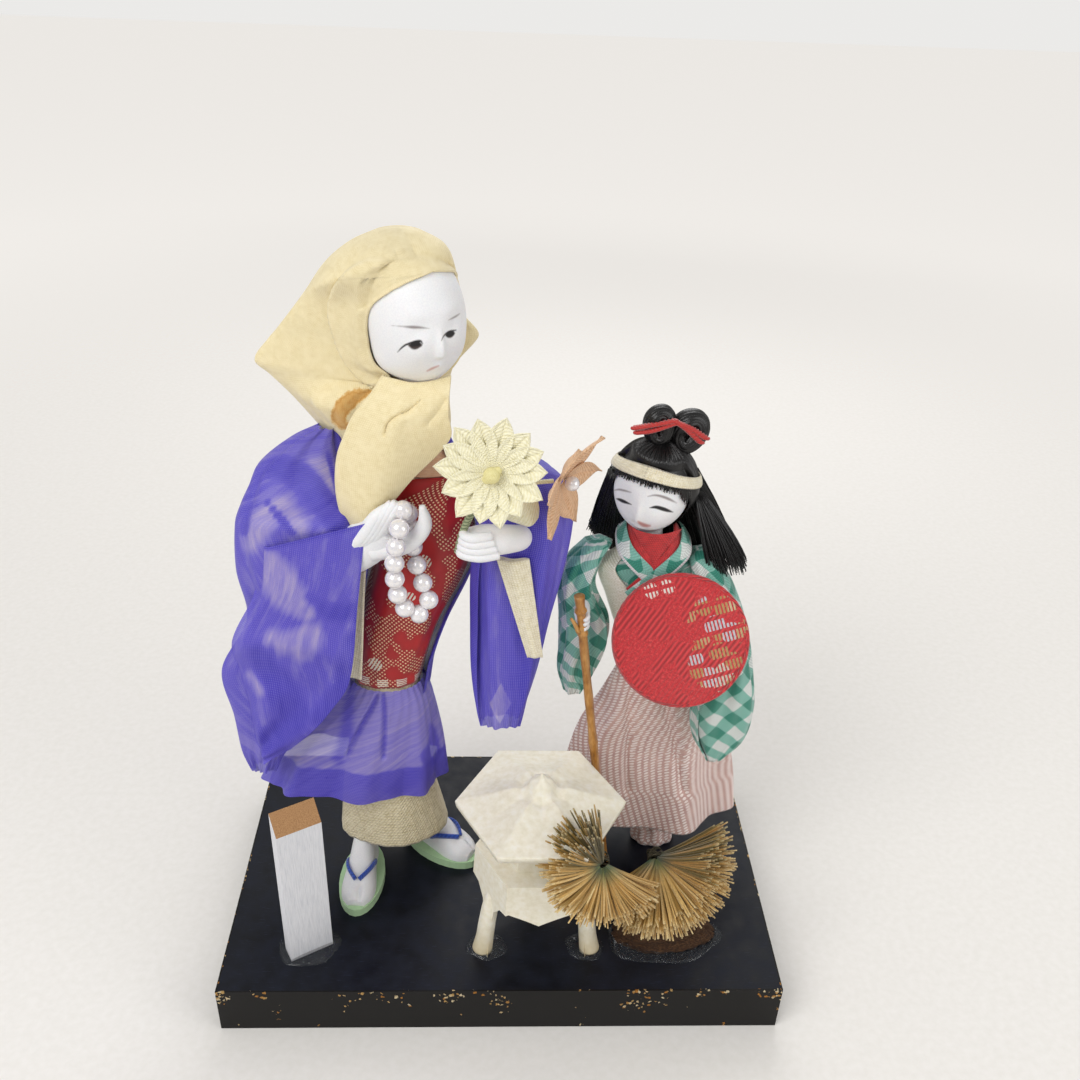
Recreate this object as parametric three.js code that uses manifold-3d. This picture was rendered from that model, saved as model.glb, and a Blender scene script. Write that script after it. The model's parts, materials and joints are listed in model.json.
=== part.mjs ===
// A craft doll group on a black display board: a hooded nun holding a string of beads and a flower,
// a small pilgrim girl with a stick and a round hat, a lantern, a pine sprig on bark and a sign post.
// Millimetres, +Z up, +X to the viewer's right, the viewer looks along +Y. The origin is the middle
// of the board's underside.
import * as THREE from 'three';
import { mergeVertices } from 'three/addons/utils/BufferGeometryUtils.js';
import Module from 'manifold-3d';

const wasm = await Module();
wasm.setup();

// Board
const BOARD_LENGTH = 130;
const BOARD_DEPTH = 78;
const BOARD_HEIGHT = 13;
const BOARD_PAPER = 0.4;

// Clearance between touching pieces, the finest edge that a cut leaves, and the thicknesses of the cloths
const GAP = 0.3;
const SLIVER = 0.06;
const THIN_CLOTH = 0.7;
const THICK_CLOTH = 0.9;

// Where each group stands on the board
const SIGN_AT = [-44.6, -28.4];
const SIGN_TURN = 29;
const LANTERN_AT = [8, -20];
const PINE_AT = [39, -23];
const NUN_AT = [-27, 0];
const CHILD_AT = [38, 6];

// Sign post
const SIGN_WIDTH = 10.2;
const SIGN_THICKNESS = 4;
const SIGN_FRONT_HEIGHT = 40;
const SIGN_BACK_HEIGHT = 44;
const PUDDLE_HEIGHT = 0.9;
const PUDDLE_MARGIN = 2;

// Lantern
const STAND_HEIGHT = 27;
const STAND_FOOT_RADIUS = 17.2;
const STAND_TOP_RADIUS = 14.6;
const STAND_WALL = 2.8;
const TRAY_THICKNESS = 2.2;
const ARCH_HEIGHT = 18.5;
const ARCH_CUSP = 15;
const ARCH_HALF_WIDTH = 10.9;
const FIREBOX_RADIUS = 9.8;
const FIREBOX_HEIGHT = 11.5;
const WINDOW_WIDTH = 3.4;
const WINDOW_HEIGHT = 2;
const WINDOW_DEPTH = 1.6;
const ROOF_RADIUS = 19.2;
const ROOF_RIM = 2.2;
const ROOF_RISE = 6.4;
const BOSS_RADIUS = 3;
const BOSS_HEIGHT = 3.2;

// Pine
const BARK_LENGTH = 23;
const BARK_DEPTH = 11;
const BARK_HEIGHT = 6.5;
const KNOT_RADIUS = 2.5;
const NEEDLE_TIP = 0.2;
const LEFT_TUFT = {
  at: [-17.7, -9.4, 34.6],
  reach: 15.4,
  from: 100,
  to: 300,
  lowest: -18,
  highest: 26,
  tilt: 14,
};
const RIGHT_TUFT = {
  at: [-3.8, 1.6, 24.6],
  reach: 18.6,
  from: -118,
  to: 30,
  lowest: -8,
  highest: 48,
  tilt: 30,
};
const TUFT_COLUMNS = 17;
const BARE_COLUMNS = 6;
const TUFT_ROWS = 5;
const SHORTEST_NEEDLE = 5;
const WIRE_RADIUS = 0.6;

// Nun, heights above the board
const SANDAL_LENGTH = 22;
const SANDAL_WIDTH = 11;
const SANDAL_THICKNESS = 2.2;
const FOOT_LENGTH = 19.2;
const FOOT_WIDTH = 8.4;
const STRAP_WIDTH = 1.7;
const STRAP_THICKNESS = 0.8;
const UNDERSKIRT_HEM = 13;
const ANKLE_HEIGHT = UNDERSKIRT_HEM - GAP;
const SKIRT_HEM = 30;
const SKIRT_FOLDS = 9;
const BODICE_HEM = 60.5;
const BODICE_TOP = 113.5;
const COLLAR_TOP = 123;
const NECK_TOP = 127;
const NUN_HEAD = { at: [8.1, 0, 146.5], size: [9.4, 10.5, 13.5], turn: 29, lean: -6 };
const NUN_NECK_RADIUS = 3;
const NUN_NECK_SOCKET = 6;

// String of beads
const BEAD_RADIUS = 2;
const THREAD_RADIUS = 0.45;

// Flowers
const PETALS = 14;
const FLOWER_RADIUS = 10.8;
const FLOWER_THICKNESS = 1;
const FLOWER_BEAD = 1.6;
const FLOWER_AT = [23, -17.2, 122.6];
const PETAL_RIB = 0.3;
const STEM_RADIUS = 0.7;
const SIDE_PETALS = 7;
const SIDE_FLOWER_RADIUS = 11.2;
const SIDE_BEAD = 1.5;
const SIDE_FLOWER_AT = [36.6, -11.4, 117.4];

// Child, heights above the board
const LEG_TOP = 19;
const CHILD_HEM = 12.6;
const CHILD_WAIST = 60;
const CHILD_FOLDS = 6;
const KIMONO_TOP = 93.5;
const CHILD_HEAD = { at: [-7.4, 1, 106.4], size: [8.2, 8.6, 10], turn: -25, lean: 6 };
const CHILD_NECK_AT = [-6.4, 0.6];
const CHILD_NECK_RADIUS = 2.3;
const COLLAR_HEIGHT = 3.4;
const HAIR_THICKNESS = 1.5;
const HEADBAND_LIFT = 5.4;
const HEADBAND_HEIGHT = 2.3;
const HEADBAND_THICKNESS = 0.6;
const STICK_RADIUS = 1.05;
const STICK_LENGTH = 86;
const STICK_Y = -10.6;
const HAT_RADIUS = 14.4;
const HAT_RIM = 1.3;
const HAT_CROWN = 1.1;
const HAT_TILT = 24;
const HAT_TURN = -8;
const HAT_AT = [-0.5, -13.8, 77];

const TURN = 2 * Math.PI;
const radians = (degrees) => degrees * Math.PI / 180;

/** A mesh of points and faces, turned so that its faces point outwards. */
function shell(points, faces) {
  const volume = faces.reduce((sum, [a, b, c]) => {
    const [p, q, r] = [points[a], points[b], points[c]];
    return sum + p[0] * (q[1] * r[2] - q[2] * r[1])
      + p[1] * (q[2] * r[0] - q[0] * r[2]) + p[2] * (q[0] * r[1] - q[1] * r[0]);
  }, 0);
  const turned = volume < 0 ? faces.map(([a, b, c]) => [a, c, b]) : faces;
  const geometry = new THREE.BufferGeometry();
  geometry.setAttribute('position', new THREE.Float32BufferAttribute(points.flat(), 3));
  geometry.setIndex(turned.flat());
  return geometry;
}

/** Two triangles for each cell between one ring and the next. */
function band(first, second, count) {
  return Array.from({ length: count }, (_, i) => {
    const next = (i + 1) % count;
    return [
      [first + i, first + next, second + next],
      [first + i, second + next, second + i],
    ];
  }).flat();
}

/** A closed body through rings of equal count, with a cap on its first and last ring. */
function loft(rings) {
  const count = rings[0].length;
  const points = rings.flat();
  const faces = rings.slice(1).flatMap((_, k) => band(k * count, (k + 1) * count, count));
  [[0, -1], [(rings.length - 1) * count, 1]].forEach(([start, side]) => {
    const ring = points.slice(start, start + count);
    const middle = [0, 1, 2].map((axis) => ring.reduce((sum, p) => sum + p[axis], 0) / count);
    const centre = points.push(middle) - 1;
    for (let i = 0; i < count; i += 1) {
      const pair = [start + i, start + (i + 1) % count];
      faces.push(side > 0 ? [centre, pair[0], pair[1]] : [centre, pair[1], pair[0]]);
    }
  });
  return shell(points, faces);
}

/** A closed wall whose section is the loop of rings: up the outside and down the inside. */
function wall(outer, inner) {
  const rings = [...outer, ...inner.toReversed()];
  const count = outer[0].length;
  const faces = rings.flatMap((_, k) => band(k * count, ((k + 1) % rings.length) * count, count));
  return shell(rings.flat(), faces);
}

/** A sheet of even thickness on both sides of the surface (u, v) to point, both from 0 to 1. */
function sheet(surface, across, down, thickness) {
  const at = (u, v) => new THREE.Vector3(...surface(u, v));
  const step = 0.01;
  const front = [];
  const back = [];
  for (let j = 0; j <= down; j += 1) {
    for (let i = 0; i <= across; i += 1) {
      const [u, v] = [i / across, j / down];
      const point = at(u, v);
      const alongU = at(Math.min(u + step, 1), v).sub(at(Math.max(u - step, 0), v));
      const alongV = at(u, Math.min(v + step, 1)).sub(at(u, Math.max(v - step, 0)));
      const normal = alongU.cross(alongV).normalize().multiplyScalar(thickness / 2);
      front.push(point.clone().add(normal).toArray());
      back.push(point.clone().sub(normal).toArray());
    }
  }
  const size = front.length;
  const index = (i, j) => j * (across + 1) + i;
  const faces = [];
  for (let j = 0; j < down; j += 1) {
    for (let i = 0; i < across; i += 1) {
      const [a, b, c, d] = [index(i, j), index(i + 1, j), index(i + 1, j + 1), index(i, j + 1)];
      faces.push([a, b, c], [a, c, d], [size + a, size + c, size + b], [size + a, size + d, size + c]);
    }
  }
  const edge = [
    ...Array.from({ length: across }, (_, i) => index(i, 0)),
    ...Array.from({ length: down }, (_, j) => index(across, j)),
    ...Array.from({ length: across }, (_, i) => index(across - i, down)),
    ...Array.from({ length: down }, (_, j) => index(0, down - j)),
  ];
  edge.forEach((a, k) => {
    const b = edge[(k + 1) % edge.length];
    faces.push([a, size + a, size + b], [a, size + b, b]);
  });
  return shell([...front, ...back], faces);
}

/** A smooth value between rows [t, ...values], along a curve that passes through each row. */
function between(rows, t) {
  const last = rows.length - 1;
  let k = 0;
  while (k < last - 1 && t > rows[k + 1][0]) {
    k += 1;
  }
  const [before, from, to, after] = [k - 1, k, k + 1, k + 2].map((i) => rows[Math.min(Math.max(i, 0), last)]);
  const share = Math.min(Math.max((t - from[0]) / (to[0] - from[0]), 0), 1);
  return from.slice(1).map((value, i) => {
    const c = i + 1;
    const slope = (a, b) => (b[0] === a[0] ? 0 : (b[c] - a[c]) / (b[0] - a[0]) * (to[0] - from[0]));
    const m0 = slope(before, to);
    const m1 = slope(from, after);
    const s = share;
    return value * (2 * s ** 3 - 3 * s ** 2 + 1) + m0 * (s ** 3 - 2 * s ** 2 + s)
      + to[c] * (3 * s ** 2 - 2 * s ** 3) + m1 * (s ** 3 - s ** 2);
  });
}

/** The place at an angle on an oval that fills a slice [left, right, front, back], squarer as power grows. */
function ovalPoint([left, right, front, back], angle, { out = 0, power = 2 } = {}) {
  const [c, s] = [Math.cos(angle), Math.sin(angle)];
  return [
    (left + right) / 2 + ((right - left) / 2 + out) * Math.sign(c) * Math.abs(c) ** (2 / power),
    (front + back) / 2 + ((back - front) / 2 + out) * Math.sign(s) * Math.abs(s) ** (2 / power),
  ];
}

/** A ring of such places at a height. */
function ovalRing(slice, height, count, { grow = 0, power = 2, fold = () => 0 } = {}) {
  return Array.from({ length: count }, (_, i) => {
    const angle = TURN * i / count;
    return [...ovalPoint(slice, angle, { out: grow + fold(angle, height), power }), height];
  });
}

/** Rings of rows [height, left, right, front, back] from one height to another. */
function rings(rows, from, to, steps, count, options) {
  return Array.from({ length: steps + 1 }, (_, k) => {
    const height = from + (to - from) * k / steps;
    return ovalRing(between(rows, height), height, count, options);
  });
}

/** A body along stations [x, y, z, half width, half thickness], its flat side turned to a direction. */
function limb(stations, facing, count) {
  const toward = new THREE.Vector3(...facing).normalize();
  const points = stations.map(([x, y, z]) => new THREE.Vector3(x, y, z));
  return loft(points.map((point, k) => {
    const next = points[Math.min(k + 1, points.length - 1)];
    const along = next.clone().sub(points[Math.max(k - 1, 0)]).normalize();
    const side = along.clone().cross(toward).normalize();
    const depth = side.clone().cross(along).normalize();
    const [halfWidth, halfThickness] = stations[k].slice(3);
    return Array.from({ length: count }, (_, i) => {
      const angle = TURN * i / count;
      return point.clone().addScaledVector(side, halfWidth * Math.cos(angle))
        .addScaledVector(depth, halfThickness * Math.sin(angle)).toArray();
    });
  }));
}

/** A round bar along a smooth line through the points. */
function bar(points, radius, steps, sides) {
  const path = new THREE.CatmullRomCurve3(points.map((p) => new THREE.Vector3(...p)));
  const section = new THREE.Shape();
  section.absarc(0, 0, radius, 0, TURN);
  return new THREE.ExtrudeGeometry(section, { steps, extrudePath: path, curveSegments: sides });
}

/** An outline drawn in the plane, made into a plate of a thickness. */
function plate(shape, depth, curveSegments = 8) {
  return new THREE.ExtrudeGeometry(shape, { depth, bevelEnabled: false, curveSegments });
}

/** The outline through a list of corners. */
function outline(corners) {
  return new THREE.Shape(corners.map(([x, y]) => new THREE.Vector2(x, y)));
}

/** A geometry whose shared corners are one corner, which is what joining and cutting need. */
function welded(geometry) {
  const copy = geometry.clone();
  ['normal', 'uv'].forEach((name) => copy.deleteAttribute(name));
  return mergeVertices(copy, 1e-4);
}

/** The step that takes a corner the same distance out from every face that meets there. */
function outwardStep(normals, distance) {
  const even = 0.003 * normals.length;
  const total = (a, b) => normals.reduce(
    (sum, n) => sum + n.getComponent(a) * n.getComponent(b),
    a === b ? even : 0,
  );
  const matrix = new THREE.Matrix3().set(
    total(0, 0), total(0, 1), total(0, 2),
    total(1, 0), total(1, 1), total(1, 2),
    total(2, 0), total(2, 1), total(2, 2),
  );
  const step = normals.reduce((sum, n) => sum.add(n), new THREE.Vector3()).multiplyScalar(distance);
  return step.applyMatrix3(matrix.invert()).clampLength(0, 2.5 * distance);
}

/** The same body with every face moved outwards by a distance. */
function grown(geometry, distance) {
  const body = welded(geometry);
  const place = body.getAttribute('position');
  const index = body.getIndex().array;
  const corner = (i) => new THREE.Vector3().fromBufferAttribute(place, i);
  const around = Array.from({ length: place.count }, () => []);
  for (let i = 0; i < index.length; i += 3) {
    const [a, b, c] = [index[i], index[i + 1], index[i + 2]];
    const normal = corner(b).sub(corner(a)).cross(corner(c).sub(corner(a))).normalize();
    [a, b, c].forEach((v) => around[v].push(normal));
  }
  around.forEach((normals, i) => {
    const moved = corner(i).add(outwardStep(normals, distance));
    place.setXYZ(i, moved.x, moved.y, moved.z);
  });
  return body;
}

function solid(geometry) {
  const body = welded(geometry);
  return new wasm.Manifold(new wasm.Mesh({
    numProp: 3,
    vertProperties: new Float32Array(body.getAttribute('position').array),
    triVerts: new Uint32Array(body.getIndex().array),
  }));
}

function surface(body) {
  const mesh = body.simplify(SLIVER).getMesh();
  const geometry = new THREE.BufferGeometry();
  geometry.setAttribute('position', new THREE.Float32BufferAttribute(mesh.vertProperties, 3));
  geometry.setIndex(Array.from(mesh.triVerts));
  return geometry;
}

const join = (...geometries) => surface(geometries.map(solid).reduce((a, b) => a.add(b)));
const cut = (geometry, ...cutters) => surface(
  cutters.map(solid).reduce((a, b) => a.subtract(b), solid(geometry)),
);
const common = (a, b) => surface(solid(a).intersect(solid(b)));

/** A piece cut back from its neighbours, so that the clearance stays between them, without loose crumbs. */
function cleared(geometry, ...neighbours) {
  const rest = cut(geometry, ...neighbours.map((n) => grown(n, GAP)));
  return surface(solid(rest).decompose().reduce((a, b) => (a.volume() > b.volume() ? a : b)));
}

const finish = (color, roughness, metalness = 0) => (
  new THREE.MeshStandardMaterial({ color, roughness, metalness })
);
const FINISHES = {
  lacquer: finish(0x141318, 0.6),
  fleckedPaper: finish(0x1a1614, 0.55),
  whitewashedWood: finish(0xd9dadd, 0.7),
  plaster: finish(0xe9e2cf, 0.6),
  glue: finish(0xcfd6dc, 0.12),
  bark: finish(0x4a2f1c, 0.9),
  straw: finish(0xb98d44, 0.7),
  wire: finish(0x3c3a30, 0.5, 0.6),
  padding: finish(0xd8cfc0, 0.9),
  whiteClay: finish(0xf1f1f3, 0.45),
  hoodCloth: finish(0xe3cf9f, 0.8),
  peachCollar: finish(0xd8a487, 0.8),
  redBrocade: finish(0x8c0f12, 0.55, 0.1),
  purpleOrganza: finish(0x4a3fc0, 0.6),
  creamCloth: finish(0xd9cba6, 0.85),
  greenStraw: finish(0xa9cf9c, 0.6),
  blueCord: finish(0x1d3fae, 0.6),
  pearl: finish(0xe8e6ea, 0.2),
  creamPetal: finish(0xf1ecc4, 0.75),
  peachPetal: finish(0xdcae84, 0.75),
  greenStem: finish(0x8c9a74, 0.7),
  blackHair: finish(0x0d0c0e, 0.35),
  redRibbon: finish(0xb2201c, 0.55),
  checkCloth: finish(0x6fb2a4, 0.8),
  silverWeave: finish(0xc9c7b4, 0.5, 0.3),
  pinkNet: finish(0xd6aaa6, 0.8),
  caneWood: finish(0xa86f2c, 0.5),
  hatBrocade: finish(0xc4232b, 0.6, 0.1),
};

const scene = new THREE.Group();

/** A group that stands on the board at a place. */
function standing([x, y]) {
  const group = new THREE.Group();
  group.position.set(x, y, BOARD_HEIGHT);
  scene.add(group);
  return group;
}

function add(parent, name, geometry, material) {
  const mesh = new THREE.Mesh(geometry, material);
  mesh.name = name;
  parent.add(mesh);
  return mesh;
}

// Board with flecked paper round its sides
const coreLength = BOARD_LENGTH - 2 * BOARD_PAPER;
const coreDepth = BOARD_DEPTH - 2 * BOARD_PAPER;
const core = new THREE.BoxGeometry(coreLength, coreDepth, BOARD_HEIGHT);
const board = add(scene, 'base_board', core, FINISHES.lacquer);
board.position.z = BOARD_HEIGHT / 2;

const rectangle = (length, depth) => [
  [-length / 2, -depth / 2],
  [length / 2, -depth / 2],
  [length / 2, depth / 2],
  [-length / 2, depth / 2],
];
const bandOutline = outline(rectangle(BOARD_LENGTH, BOARD_DEPTH));
bandOutline.holes.push(outline(rectangle(coreLength, coreDepth)));
add(scene, 'base_side_band', plate(bandOutline, BOARD_HEIGHT), FINISHES.fleckedPaper);

/** A low puddle of dried glue with a rounded edge, cut round what stands in it. */
function puddle({ x = 0, y = 0, halfLength, halfDepth, power = 2 }, ...standingIn) {
  const rows = [[0, 1], [0.5 * PUDDLE_HEIGHT, 0.96], [PUDDLE_HEIGHT, 0.7]];
  const body = loft(rows.map(([height, share]) => ovalRing([
    x - halfLength * share,
    x + halfLength * share,
    y - halfDepth * share,
    y + halfDepth * share,
  ], height, 12, { power })));
  return cleared(body, ...standingIn);
}

// Sign post: a flat stake with a slanting top, its front painted white
const sign = standing(SIGN_AT);
const signProfile = outline([
  [0, 0],
  [SIGN_THICKNESS, 0],
  [SIGN_THICKNESS, SIGN_BACK_HEIGHT],
  [0, SIGN_FRONT_HEIGHT],
]);
const post = plate(signProfile, SIGN_WIDTH);
post.rotateX(Math.PI / 2);
post.rotateZ(Math.PI / 2);
post.translate(-SIGN_WIDTH / 2, 0, 0);
sign.rotation.z = radians(SIGN_TURN);
add(sign, 'sign_post', post, FINISHES.whitewashedWood);
const signPuddle = puddle({
  y: SIGN_THICKNESS / 2,
  halfLength: SIGN_WIDTH / 2 + PUDDLE_MARGIN,
  halfDepth: SIGN_THICKNESS / 2 + PUDDLE_MARGIN,
  power: 4,
}, post);
add(sign, 'glue_sign', signPuddle, FINISHES.glue);

// Lantern: a stand of three legs, a firebox with windows and a six-sided roof with a boss
const lantern = standing(LANTERN_AT);
const SIDES = 6;
const hexagon = (radius, height) => Array.from({ length: SIDES }, (_, i) => {
  const angle = TURN * i / SIDES;
  return [radius * Math.cos(angle), radius * Math.sin(angle), height];
});

const legRadius = (height) => (
  THREE.MathUtils.lerp(STAND_FOOT_RADIUS, STAND_TOP_RADIUS, Math.sqrt(height / STAND_HEIGHT))
);
const standHeights = [0, 0.2, 0.5, 1].map((share) => share * STAND_HEIGHT);
const standOuter = loft(standHeights.map((height) => hexagon(legRadius(height), height)));
const hollowTop = STAND_HEIGHT - TRAY_THICKNESS;
const hollowHeights = [-1, 0.2 * hollowTop, 0.5 * hollowTop, hollowTop];
const standHollow = loft(hollowHeights.map((height) => (
  hexagon(legRadius(Math.max(height, 0)) - STAND_WALL, height)
)));

const arch = new THREE.Shape();
arch.moveTo(-ARCH_HALF_WIDTH - 0.6, -1);
arch.lineTo(ARCH_HALF_WIDTH + 0.6, -1);
arch.lineTo(ARCH_HALF_WIDTH, 0.5 * ARCH_HEIGHT);
arch.quadraticCurveTo(ARCH_HALF_WIDTH - 0.5, ARCH_HEIGHT, ARCH_HALF_WIDTH - 4, ARCH_HEIGHT);
arch.quadraticCurveTo(0.25 * ARCH_HALF_WIDTH, ARCH_CUSP + 1.6, 0, ARCH_CUSP);
arch.quadraticCurveTo(-0.25 * ARCH_HALF_WIDTH, ARCH_CUSP + 1.6, 4 - ARCH_HALF_WIDTH, ARCH_HEIGHT);
arch.quadraticCurveTo(0.5 - ARCH_HALF_WIDTH, ARCH_HEIGHT, -ARCH_HALF_WIDTH, 0.5 * ARCH_HEIGHT);
const archCutters = [0, 120, 240].map((angle) => {
  const cutter = plate(arch, STAND_FOOT_RADIUS + 2, 3);
  cutter.rotateX(Math.PI / 2);
  cutter.rotateZ(radians(angle));
  return cutter;
});
const stand = cut(standOuter, standHollow, ...archCutters);
add(lantern, 'lantern_stand', stand, FINISHES.plaster);

const fireboxTop = STAND_HEIGHT + FIREBOX_HEIGHT;
const fireboxBody = loft([hexagon(FIREBOX_RADIUS, STAND_HEIGHT), hexagon(FIREBOX_RADIUS, fireboxTop)]);
const faceDistance = FIREBOX_RADIUS * Math.cos(Math.PI / SIDES);
const windows = Array.from({ length: SIDES }, (_, i) => [-1, 1].map((side) => {
  const opening = new THREE.BoxGeometry(WINDOW_DEPTH, WINDOW_WIDTH, WINDOW_HEIGHT);
  opening.translate(faceDistance, side * 0.62 * WINDOW_WIDTH, STAND_HEIGHT + 0.4 * FIREBOX_HEIGHT);
  opening.rotateZ(TURN * (i + 0.5) / SIDES);
  return opening;
})).flat();
add(lantern, 'lantern_firebox', cut(fireboxBody, ...windows), FINISHES.plaster);

const roofRings = [
  hexagon(FIREBOX_RADIUS + 2, fireboxTop),
  hexagon(ROOF_RADIUS, fireboxTop + 1),
  hexagon(ROOF_RADIUS, fireboxTop + 1 + ROOF_RIM),
  hexagon(0.55 * ROOF_RADIUS, fireboxTop + ROOF_RIM + 0.42 * ROOF_RISE),
  hexagon(0.2 * ROOF_RADIUS, fireboxTop + ROOF_RIM + ROOF_RISE),
];
const bossFoot = fireboxTop + ROOF_RIM + 0.7 * ROOF_RISE;
const bossTop = fireboxTop + ROOF_RIM + ROOF_RISE + BOSS_HEIGHT;
const boss = loft([
  [bossFoot, BOSS_RADIUS],
  [bossTop - BOSS_HEIGHT, BOSS_RADIUS],
  [bossTop - 0.6 * BOSS_HEIGHT, 0.8 * BOSS_RADIUS],
  [bossTop - 0.3 * BOSS_HEIGHT, 0.45 * BOSS_RADIUS],
  [bossTop, 0.12 * BOSS_RADIUS],
].map(([height, radius]) => ovalRing([-radius, radius, -radius, radius], height, 12)));
add(lantern, 'lantern_roof', join(loft(roofRings), boss), FINISHES.plaster);

/** The corner radius of the lantern at a height above the board. */
function lanternRadius(height) {
  if (height < STAND_HEIGHT + 2 * GAP) {
    return legRadius(THREE.MathUtils.clamp(height, 0, STAND_HEIGHT));
  }
  if (height > bossTop) {
    return 0;
  }
  return height < fireboxTop - 2 * GAP ? FIREBOX_RADIUS : ROOF_RADIUS;
}

const legPlace = STAND_FOOT_RADIUS * Math.cos(Math.PI / SIDES) - STAND_WALL / 2;
['left', 'right', 'back'].forEach((name, i) => {
  const angle = radians(210 + 120 * i);
  const glue = puddle({
    x: legPlace * Math.cos(angle),
    y: legPlace * Math.sin(angle),
    halfLength: 2.6 + PUDDLE_MARGIN,
    halfDepth: 2.2 + PUDDLE_MARGIN,
  }, stand);
  add(lantern, `glue_lantern_${name}`, glue, FINISHES.glue);
});

// Pine: two tufts of cut bristle on wires that stand in a lump of bark
const pine = standing(PINE_AT);
const barkRows = [
  [0, 0.5, 0.46],
  [0.35, 0.53, 0.5],
  [0.7, 0.42, 0.4],
  [1, 0.24, 0.22],
];
const barkLumps = (angle) => 0.5 * Math.cos(3 * angle + 1) + 0.35 * Math.cos(5 * angle);
const bark = loft(barkRows.map(([share, along, across]) => ovalRing([
  -BARK_LENGTH * along,
  BARK_LENGTH * along,
  -BARK_DEPTH * across,
  BARK_DEPTH * across,
], BARK_HEIGHT * share, 18, { fold: barkLumps })));

/** A fixed number from 0 to 1 for a whole number, which looks unordered. */
const scatter = (n) => {
  const value = Math.sin(n * 12.9898) * 43758.5453;
  return value - Math.floor(value);
};

/** How far a bristle can grow before it meets the lantern. */
function clearOfLantern(start, along, reach) {
  const shift = [PINE_AT[0] - LANTERN_AT[0], PINE_AT[1] - LANTERN_AT[1]];
  const inward = Math.cos(Math.PI / SIDES);
  const step = 0.5;
  for (let length = KNOT_RADIUS; length < reach; length += step) {
    const point = start.clone().addScaledVector(along, length);
    const [x, y] = [point.x + shift[0], point.y + shift[1]];
    const out = Math.max(...[30, 90, 150].map((angle) => (
      Math.abs(x * Math.cos(radians(angle)) + y * Math.sin(radians(angle))))));
    if (out < lanternRadius(point.z) * inward + 3 * GAP) {
      return length - step;
    }
  }
  return reach;
}

// The bristles end above the board's front edge
const frontEdge = GAP - BOARD_DEPTH / 2 - PINE_AT[1];

/** A round knot whose facets each grow into one three-sided bristle, spread like a fan to the front. */
function tuft({ at, reach, from, to, lowest, highest, tilt: degrees }, limit) {
  const tilt = radians(degrees);
  const across = new THREE.Vector3(1, 0, 0);
  const upward = new THREE.Vector3(0, Math.sin(tilt), Math.cos(tilt));
  const outward = new THREE.Vector3(0, -Math.cos(tilt), Math.sin(tilt));
  const centre = new THREE.Vector3(...at);
  const direction = (turn, rise) => new THREE.Vector3()
    .addScaledVector(across, Math.cos(turn) * Math.cos(rise))
    .addScaledVector(upward, Math.sin(turn) * Math.cos(rise))
    .addScaledVector(outward, Math.sin(rise));
  const fan = radians(to - from);
  const columns = TUFT_COLUMNS + BARE_COLUMNS;
  const turnOf = (i) => (i <= TUFT_COLUMNS
    ? radians(from) + fan * i / TUFT_COLUMNS
    : radians(to) + (TURN - fan) * (i - TUFT_COLUMNS) / BARE_COLUMNS);
  const riseOf = (j) => radians(lowest + (highest - lowest) * j / TUFT_ROWS);
  const points = [];
  const knot = [];
  for (let j = 0; j <= TUFT_ROWS; j += 1) {
    for (let i = 0; i < columns; i += 1) {
      points.push(centre.clone().addScaledVector(direction(turnOf(i), riseOf(j)), KNOT_RADIUS).toArray());
    }
  }
  const poles = [-1, 1].map((side) => points.push(
    centre.clone().addScaledVector(outward, side * 0.8 * KNOT_RADIUS).toArray(),
  ) - 1);
  const faces = [];
  for (let i = 0; i < columns; i += 1) {
    const next = (i + 1) % columns;
    faces.push([poles[0], next, i]);
    faces.push([poles[1], TUFT_ROWS * columns + i, TUFT_ROWS * columns + next]);
    for (let j = 0; j < TUFT_ROWS; j += 1) {
      const [a, b] = [j * columns + i, j * columns + next];
      const [c, d] = [(j + 1) * columns + next, (j + 1) * columns + i];
      (i < TUFT_COLUMNS ? knot : faces).push([a, b, c], [a, c, d]);
    }
  }
  knot.forEach((facet, n) => {
    const corners = facet.map((v) => new THREE.Vector3(...points[v]));
    const middle = corners.reduce((sum, p) => sum.add(p), new THREE.Vector3()).divideScalar(3);
    const along = middle.clone().sub(centre).normalize();
    const room = along.x * limit.side > 0 ? (limit.x - centre.x) / along.x : reach;
    const roomBefore = along.y < 0 ? (frontEdge - centre.y) / along.y : reach;
    const grownTo = reach * (0.84 + 0.16 * scatter(n + at[0]));
    const length = Math.min(grownTo, room, roomBefore, clearOfLantern(centre, along, reach));
    if (length < SHORTEST_NEEDLE) {
      faces.push(facet);
      return;
    }
    const end = centre.clone().addScaledVector(along, length);
    const tips = corners.map((p) => {
      const offset = p.clone().sub(middle);
      return points.push(end.clone().addScaledVector(offset, 2 * NEEDLE_TIP / offset.length()).toArray()) - 1;
    });
    facet.forEach((a, k) => {
      const next = (k + 1) % 3;
      faces.push([a, facet[next], tips[next]], [a, tips[next], tips[k]]);
    });
    faces.push(tips);
  });
  return shell(points, faces);
}

const tuftMiddle = (LEFT_TUFT.at[0] + RIGHT_TUFT.at[0]) / 2;
const leftTuft = tuft(LEFT_TUFT, { x: tuftMiddle - GAP, side: 1 });
const rightTuft = tuft(RIGHT_TUFT, { x: tuftMiddle + GAP, side: -1 });
add(pine, 'pine_cluster_left', leftTuft, FINISHES.straw);
add(pine, 'pine_cluster_right', rightTuft, FINISHES.straw);

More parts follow.
